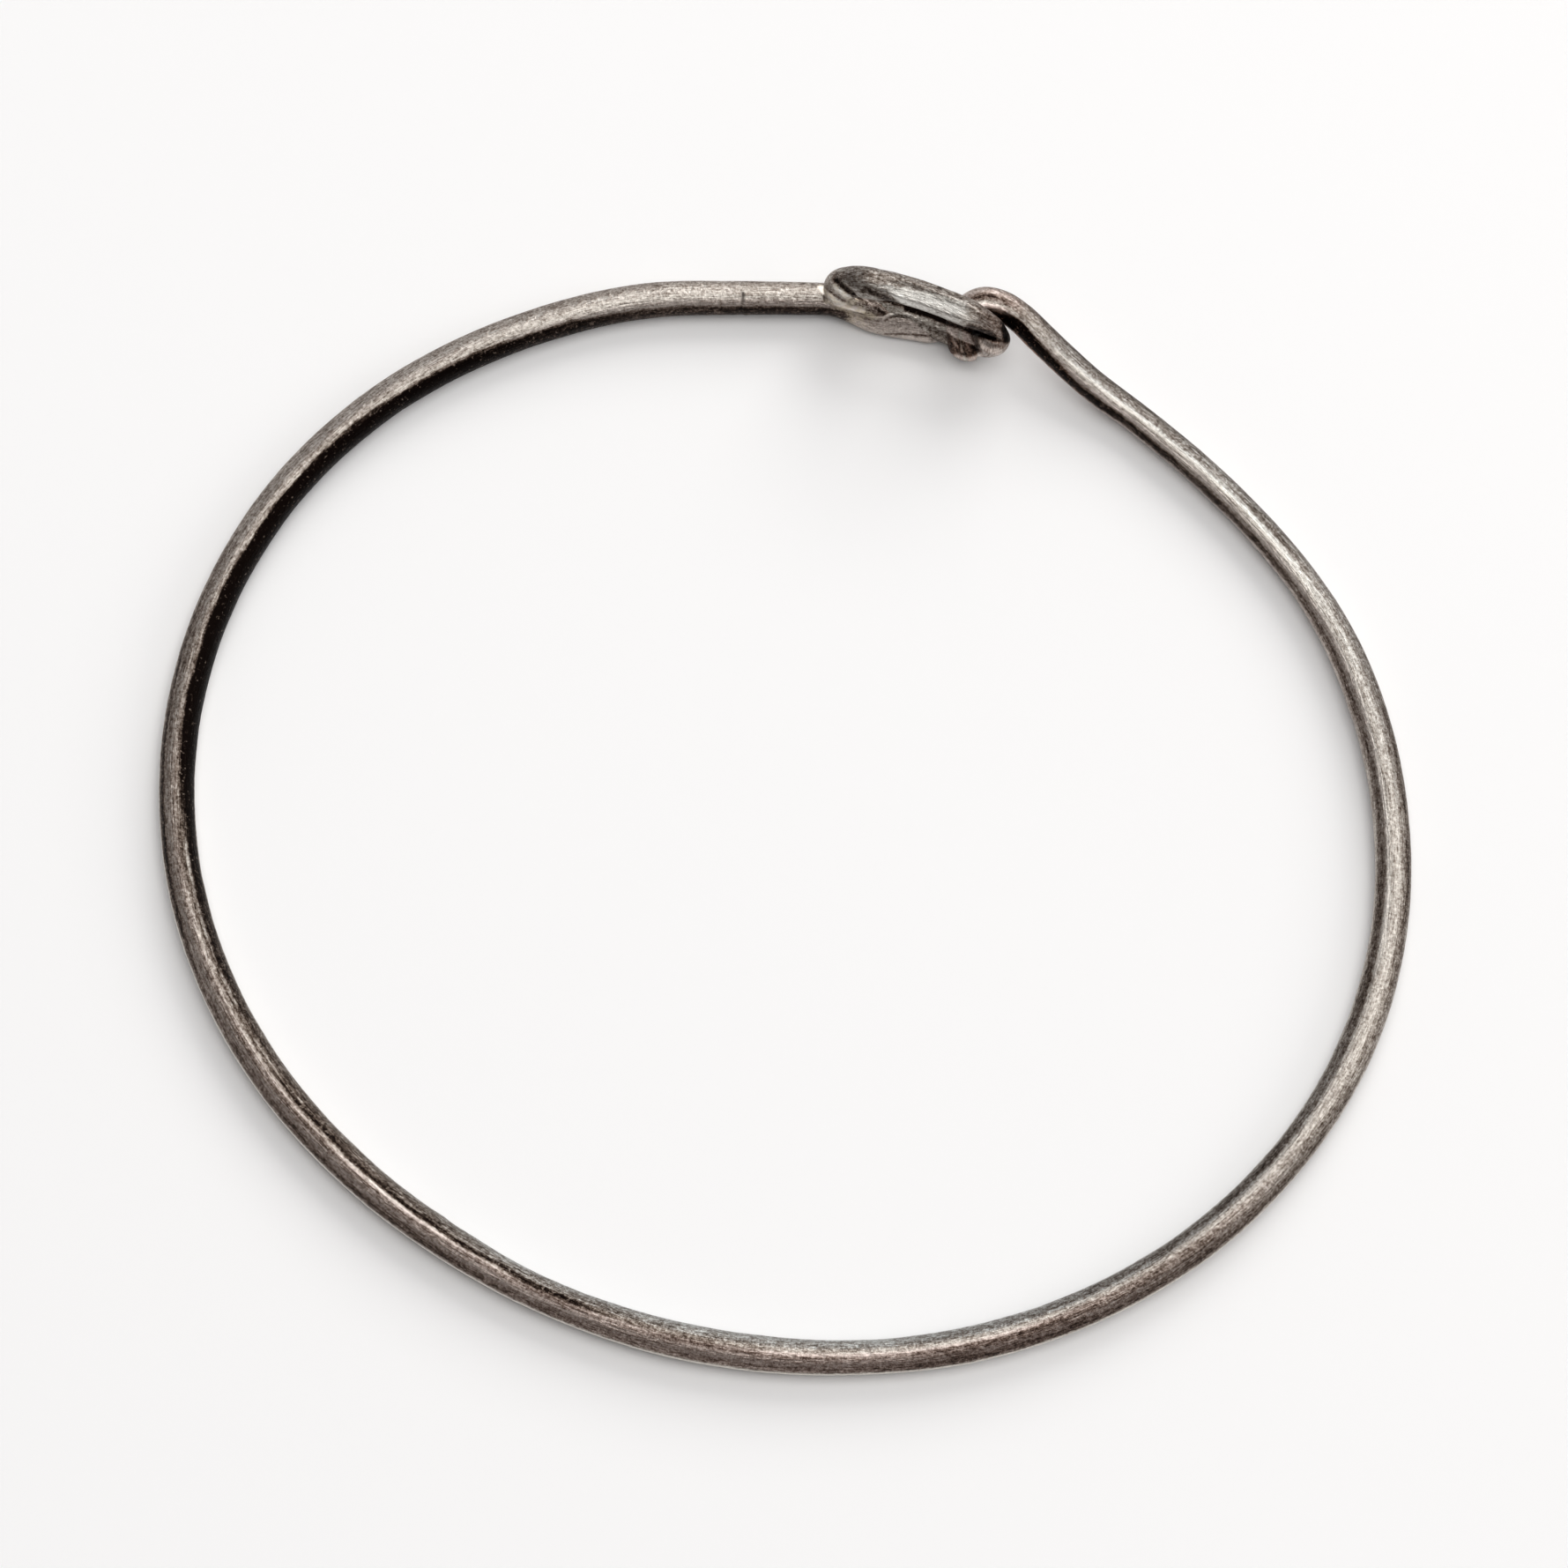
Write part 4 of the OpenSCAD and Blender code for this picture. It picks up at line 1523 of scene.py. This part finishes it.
class Nodes:
    """Short names for adding and linking shader nodes."""

    def __init__(self, tree: bpy.types.NodeTree) -> None:
        """Keeps the tree."""
        self.tree = tree

    def add(self, kind: str, **settings: object) -> bpy.types.Node:
        """Adds a node and sets its properties.

        Args:
            kind: the node's type.
            settings: its properties by name.

        Returns:
            The node.
        """
        node = self.tree.nodes.new(kind)
        for key, value in settings.items():
            setattr(node, key, value)
        return node

    def put(self, socket: Socket, value: object) -> None:
        """Links a socket to another, or sets its value.

        Args:
            socket: the input.
            value: an output, or the value itself.
        """
        if isinstance(value, Socket):
            self.tree.links.new(value, socket)
        else:
            socket.default_value = value

    def layer(self, layer: Layer) -> Socket:
        """Reads one of the piece's own attributes.

        Args:
            layer: which one.

        Returns:
            Its value, or its vector for the stock's places.
        """
        node = self.add("ShaderNodeAttribute", attribute_type="GEOMETRY", attribute_name=layer.value)
        return node.outputs["Vector" if layer is Layer.STOCK else "Fac"]

    def maths(self, operation: str, *values: object) -> Socket:
        """Works out one operation on numbers, and doesn't clamp it.

        Args:
            operation: the node's name for it.
            values: sockets or numbers.

        Returns:
            The result.
        """
        node = self.add("ShaderNodeMath", operation=operation)
        for socket, value in zip(node.inputs, values):
            self.put(socket, value)
        return node.outputs[0]

    def total(self, *parts: tuple[object, float]) -> Socket:
        """Adds up values, each times its own weight.

        Args:
            parts: pairs of a value and its weight.

        Returns:
            The sum.
        """
        total: object = 0.0
        for value, weight in parts:
            total = self.maths("MULTIPLY_ADD", value, weight, total)
        return total

    def ramp(self, value: object, tones: tuple[tuple[float, Colour], ...]) -> Socket:
        """Turns a value into a colour by a row of stops.

        Args:
            value: the value.
            tones: each stop's value and colour.

        Returns:
            The colour.
        """
        node = self.add("ShaderNodeValToRGB")
        low, high = tones[0][0], tones[-1][0]
        stops = node.color_ramp.elements
        while len(stops) < len(tones):
            stops.new(0.5)
        for stop, (at, colour) in zip(stops, tones):
            stop.position = (at - low) / (high - low)
            stop.color = (*colour, 1)
        spread = 1 / (high - low)
        self.put(node.inputs[0], self.maths("MULTIPLY_ADD", value, spread, -low * spread))
        return node.outputs[0]

    def stretch(self, vector: object, scale: tuple[float, float, float]) -> Socket:
        """Scales coordinates by axis.

        Args:
            vector: the coordinates.
            scale: how much for each axis.

        Returns:
            The scaled coordinates.
        """
        node = self.add("ShaderNodeMapping", vector_type="POINT")
        self.put(node.inputs["Vector"], vector)
        node.inputs["Scale"].default_value = scale
        return node.outputs[0]

    def noise(self, vector: object, scale: float, detail: float, rough: float) -> Socket:
        """Cloudy noise of 0 to 1.

        Args:
            vector: where it lies.
            scale: how fine it is.
            detail: how many finer layers it has.
            rough: how strong they are.

        Returns:
            The noise.
        """
        node = self.add("ShaderNodeTexNoise")
        self.put(node.inputs["Vector"], vector)
        node.inputs["Scale"].default_value = scale
        node.inputs["Detail"].default_value = detail
        node.inputs["Roughness"].default_value = rough
        return node.outputs["Fac"]

    def step(self, value: object, low: float, high: float, top: float = 1.0) -> Socket:
        """A smooth step.

        Args:
            value: what is looked at.
            low: where it is 0.
            high: where it reaches top.
            top: its value from there on.

        Returns:
            The step's value.
        """
        node = self.add("ShaderNodeMapRange", interpolation_type="SMOOTHSTEP")
        self.put(node.inputs["Value"], value)
        node.inputs["From Min"].default_value = low
        node.inputs["From Max"].default_value = high
        node.inputs["To Max"].default_value = top
        return node.outputs[0]

    def mix(self, share: object, first: object, second: object, blend: str = "MIX") -> Socket:
        """Mixes two colours.

        Args:
            share: how much of the second.
            first: the first colour.
            second: the second colour.
            blend: how they are mixed.

        Returns:
            The mixed colour.
        """
        node = self.add("ShaderNodeMix", data_type="RGBA", blend_type=blend)
        # The sockets of a colour mix: factor, the two colours, the result
        for socket, value in ((0, share), (6, first), (7, second)):
            self.put(node.inputs[socket], value)
        return node.outputs[2]


@dataclass(frozen=True)
class TarnishedSilver:
    """Oxidised silver: worn pale, tarnished brown, black in the hollows, with draw lines; the tarnish
    that it reads also holds painted shade and painted highlights.

    Attributes:
        tones: colours of the metal by the amount of tarnish, painted shade and painted highlights.
        tints: what the hue layer multiplies them by, from bluish to reddish.
        copper: the reddish bloom where the wire was heated.
        flux: the creamy tone of the solder.
        grain: how much the fibre, brush, mottle, speck and cloud noises darken the metal.
        relief: how much the first four of them raise it.
        film: tarnish that lies all over.
        polish: roughness of the most worn metal.
        bump: strength of the relief.
        bump_h: its height in metres.
    """

    tones: tuple[tuple[float, Colour], ...] = (
        (-0.35, (0.84, 0.80, 0.74)),
        (0.00, (0.63, 0.59, 0.54)),
        (0.22, (0.42, 0.385, 0.345)),
        (0.42, (0.228, 0.193, 0.165)),
        (0.60, (0.103, 0.077, 0.061)),
        (0.80, (0.024, 0.016, 0.012)),
        (1.00, (0.005, 0.003, 0.0024)),
    )
    tints: tuple[tuple[float, Colour], ...] = (
        (-1.0, (0.91, 1.0, 1.07)),
        (0.0, (1.0, 1.0, 1.0)),
        (1.0, (1.09, 0.985, 0.99)),
    )
    copper: tuple[float, ...] = (0.50, 0.27, 0.17, 1)
    flux: tuple[float, ...] = (0.74, 0.65, 0.49, 1)
    grain: tuple[float, ...] = (0.56, 0.90, 0.42, 1.05, 0.14)
    relief: tuple[float, ...] = (0.8, 0.3, 0.9, 0.35)
    film: float = 0.20
    polish: float = 0.17
    bump: float = 0.55
    bump_h: float = 0.00009

    def material(self, name: str) -> bpy.types.Material:
        """Makes the material.

        Args:
            name: its name.

        Returns:
            A material that reads the pieces' own attributes.
        """
        material = bpy.data.materials.new(name)
        material.use_nodes = True
        tree = material.node_tree
        tree.nodes.clear()
        n = Nodes(tree)
        stock = n.layer(Layer.STOCK)
        # Streaks follow the stock, and spots lie in millimetres on the piece itself
        place = n.add("ShaderNodeTexCoord").outputs["Object"]
        spot = n.stretch(place, (1 / MM, 1 / MM, 1 / MM))
        fibre = n.noise(n.stretch(stock, (0.7, 9, 9)), 1.0, 4, 0.62)
        brush = n.noise(n.stretch(stock, (2.2, 19, 19)), 1.0, 3, 0.6)
        mottle = n.noise(spot, 2.6, 4, 0.62)
        speck = n.noise(spot, 7.0, 4, 0.7)
        cloud = n.noise(spot, 0.30, 2, 0.5)
        spark = n.step(n.noise(spot, 5.3, 3, 0.65), 0.57, 0.68)

        noises = (fibre, brush, mottle, speck, cloud)
        grain = n.maths("SUBTRACT", n.total(*zip(noises, self.grain)), sum(self.grain) / 2)
        # The layer holds tarnish with painted shade and painted highlights
        tarnish_and_painted_light = n.maths("ADD", n.layer(Layer.TARNISH), self.film)
        tarnish_and_painted_light = n.maths("ADD", tarnish_and_painted_light, grain)
        # Bright specks, more so in the black
        specks = n.maths("MULTIPLY", spark, n.maths("ADD", n.step(tarnish_and_painted_light, 0.6, 1.1, -0.42), -0.12))
        tarnish_and_painted_light = n.maths("ADD", tarnish_and_painted_light, specks)
        colour = n.ramp(tarnish_and_painted_light, self.tones)
        tint = n.ramp(n.layer(Layer.HUE), self.tints)
        colour = n.mix(1.0, colour, tint, "MULTIPLY")

        # Cream on the solder, then copper where the wire was heated, neither of them on the black
        flux = n.maths("MULTIPLY", n.layer(Layer.SOLDER), n.step(mottle, 0.36, 0.58, 0.75))
        colour = n.mix(n.maths("MULTIPLY", flux, n.step(tarnish_and_painted_light, 0.75, 0.35)), colour, self.flux)
        bloom = n.maths("MULTIPLY", n.layer(Layer.BLOOM), n.step(mottle, 0.40, 0.60, 0.8))
        bloom = n.maths("MULTIPLY", bloom, n.step(tarnish_and_painted_light, 0.95, 0.45))
        colour = n.mix(bloom, colour, self.copper)

        rough = n.total((brush, 0.25), (n.step(tarnish_and_painted_light, 0.1, 0.9), 0.20), (speck, 0.12))
        rough = n.maths("ADD", rough, self.polish)

        bump = n.add("ShaderNodeBump")
        bump.inputs["Strength"].default_value = self.bump
        bump.inputs["Distance"].default_value = self.bump_h
        n.put(bump.inputs["Height"], n.total(*zip(noises, self.relief)))

        shader = n.add("ShaderNodeBsdfPrincipled")
        n.put(shader.inputs["Base Color"], colour)
        shader.inputs["Metallic"].default_value = 1.0
        n.put(shader.inputs["Roughness"], rough)
        n.put(shader.inputs["Normal"], bump.outputs[0])
        output = n.add("ShaderNodeOutputMaterial")
        tree.links.new(shader.outputs[0], output.inputs["Surface"])
        return material


@dataclass
class Studio:
    """Floor, soft light and the camera at the photograph's angle."""

    # The camera: angle from the front, angle above the surface, distance, lens and sensor, what it
    # looks at, and the nearest and furthest that it sees, in metres
    azimuth: float = 17.0
    elevation: float = 77.0
    distance: float = 458.008
    lens: float = 200.0
    sensor: float = 36.0
    target: tuple[float, float, float] = (-0.6003, 1.0816, 0.95)
    clip: tuple[float, float] = (0.01, 10.0)
    # The sky: its two tones, its strength, which way it brightens, and where it starts and ends
    dim: tuple[float, ...] = (0.20, 0.18, 0.17, 1)
    bright: tuple[float, ...] = (0.85, 0.87, 0.92, 1)
    sky: float = 0.7
    toward: tuple[float, float] = (0.35, 0.75)
    fade: tuple[float, float] = (-0.7, 0.9)
    # The floor: size and height in metres, tone, roughness and shine
    floor_size: float = 4.0
    floor_z: float = -0.00002
    pale: tuple[float, ...] = (0.955, 0.957, 0.96, 1)
    matt: float = 0.9
    shine: float = 0.1
    # The lamps: name, place and size in metres, power, colour
    lamps: tuple = (
        ("over", (0.08, 0.05, 1.00), 0.7, 4.0, (1.0, 0.985, 0.96)),
        ("back", (0.05, 0.85, 0.55), 0.6, 5.0, (1.0, 0.98, 0.95)),
        ("right", (0.85, 0.20, 0.50), 0.5, 1.8, (1.0, 0.96, 0.91)),
    )

    def camera(self) -> None:
        """Sets the camera."""
        a, e = math.radians(self.azimuth), math.radians(self.elevation)
        back = Vector((math.sin(a) * math.cos(e), -math.cos(a) * math.cos(e), math.sin(e)))
        right = Vector((math.cos(a), math.sin(a), 0))
        up = back.cross(right)
        data = bpy.data.cameras.new("camera")
        data.lens, data.sensor_width = self.lens, self.sensor
        data.clip_start, data.clip_end = self.clip
        camera = bpy.data.objects.new("camera", data)
        bpy.context.scene.collection.objects.link(camera)
        place = (Vector(self.target) + back * self.distance) * MM
        turn = Matrix((right, up, back)).transposed().to_4x4()
        camera.matrix_world = Matrix.Translation(place) @ turn
        bpy.context.scene.camera = camera

    def floor(self) -> None:
        """Adds a plain pale floor under the bangle."""
        deselect()
        bpy.ops.mesh.primitive_plane_add(size=self.floor_size, location=(0, 0, self.floor_z))
        floor = bpy.context.object
        floor.name = "floor"
        material = bpy.data.materials.new("pale_floor")
        material.use_nodes = True
        shader = material.node_tree.nodes["Principled BSDF"]
        shader.inputs["Base Color"].default_value = self.pale
        shader.inputs["Roughness"].default_value = self.matt
        shader.inputs["Specular IOR Level"].default_value = self.shine
        floor.data.materials.append(material)

    def lights(self) -> None:
        """Adds soft light, strongest from behind and from the right."""
        for name, place, size, power, colour in self.lamps:
            data = bpy.data.lights.new(name, "AREA")
            data.shape, data.size, data.energy, data.color = "SQUARE", size, power, colour
            lamp = bpy.data.objects.new(name, data)
            bpy.context.scene.collection.objects.link(lamp)
            lamp.location = place
            lamp.rotation_euler = (-Vector(place)).to_track_quat("-Z", "Y").to_euler()
        world = bpy.data.worlds.new("studio")
        bpy.context.scene.world = world
        world.use_nodes = True
        sky = world.node_tree.nodes["Background"]
        n = Nodes(world.node_tree)
        toward = n.add("ShaderNodeSeparateXYZ")
        n.put(toward.inputs[0], n.add("ShaderNodeTexCoord").outputs["Generated"])
        right, back = self.toward
        side = n.maths("MULTIPLY", toward.outputs[1], back)
        side = n.maths("MULTIPLY_ADD", toward.outputs[0], right, side)
        shade = n.step(side, *self.fade)
        n.put(sky.inputs["Color"], n.mix(shade, self.dim, self.bright))
        sky.inputs["Strength"].default_value = self.sky
        bpy.context.scene.view_settings.view_transform = "Standard"


def main() -> None:
    """Builds the pieces in order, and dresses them."""
    logging.basicConfig(level=logging.INFO, format="%(message)s")
    silver = TarnishedSilver().material("tarnished_silver")
    wire = Wire().build()
    eye = Eye().build()
    solder = Solder().build(wire, eye)
    for piece in (wire, eye, solder):
        piece.data.materials.clear()
        piece.data.materials.append(silver)
        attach(piece, BODY)
        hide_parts(NODE)
        piece.data.calc_loop_triangles()
        log.info("%s: %d triangles", piece.name, len(piece.data.loop_triangles))
    studio = Studio()
    studio.floor()
    studio.lights()
    studio.camera()


if __name__ == "__main__":
    main()
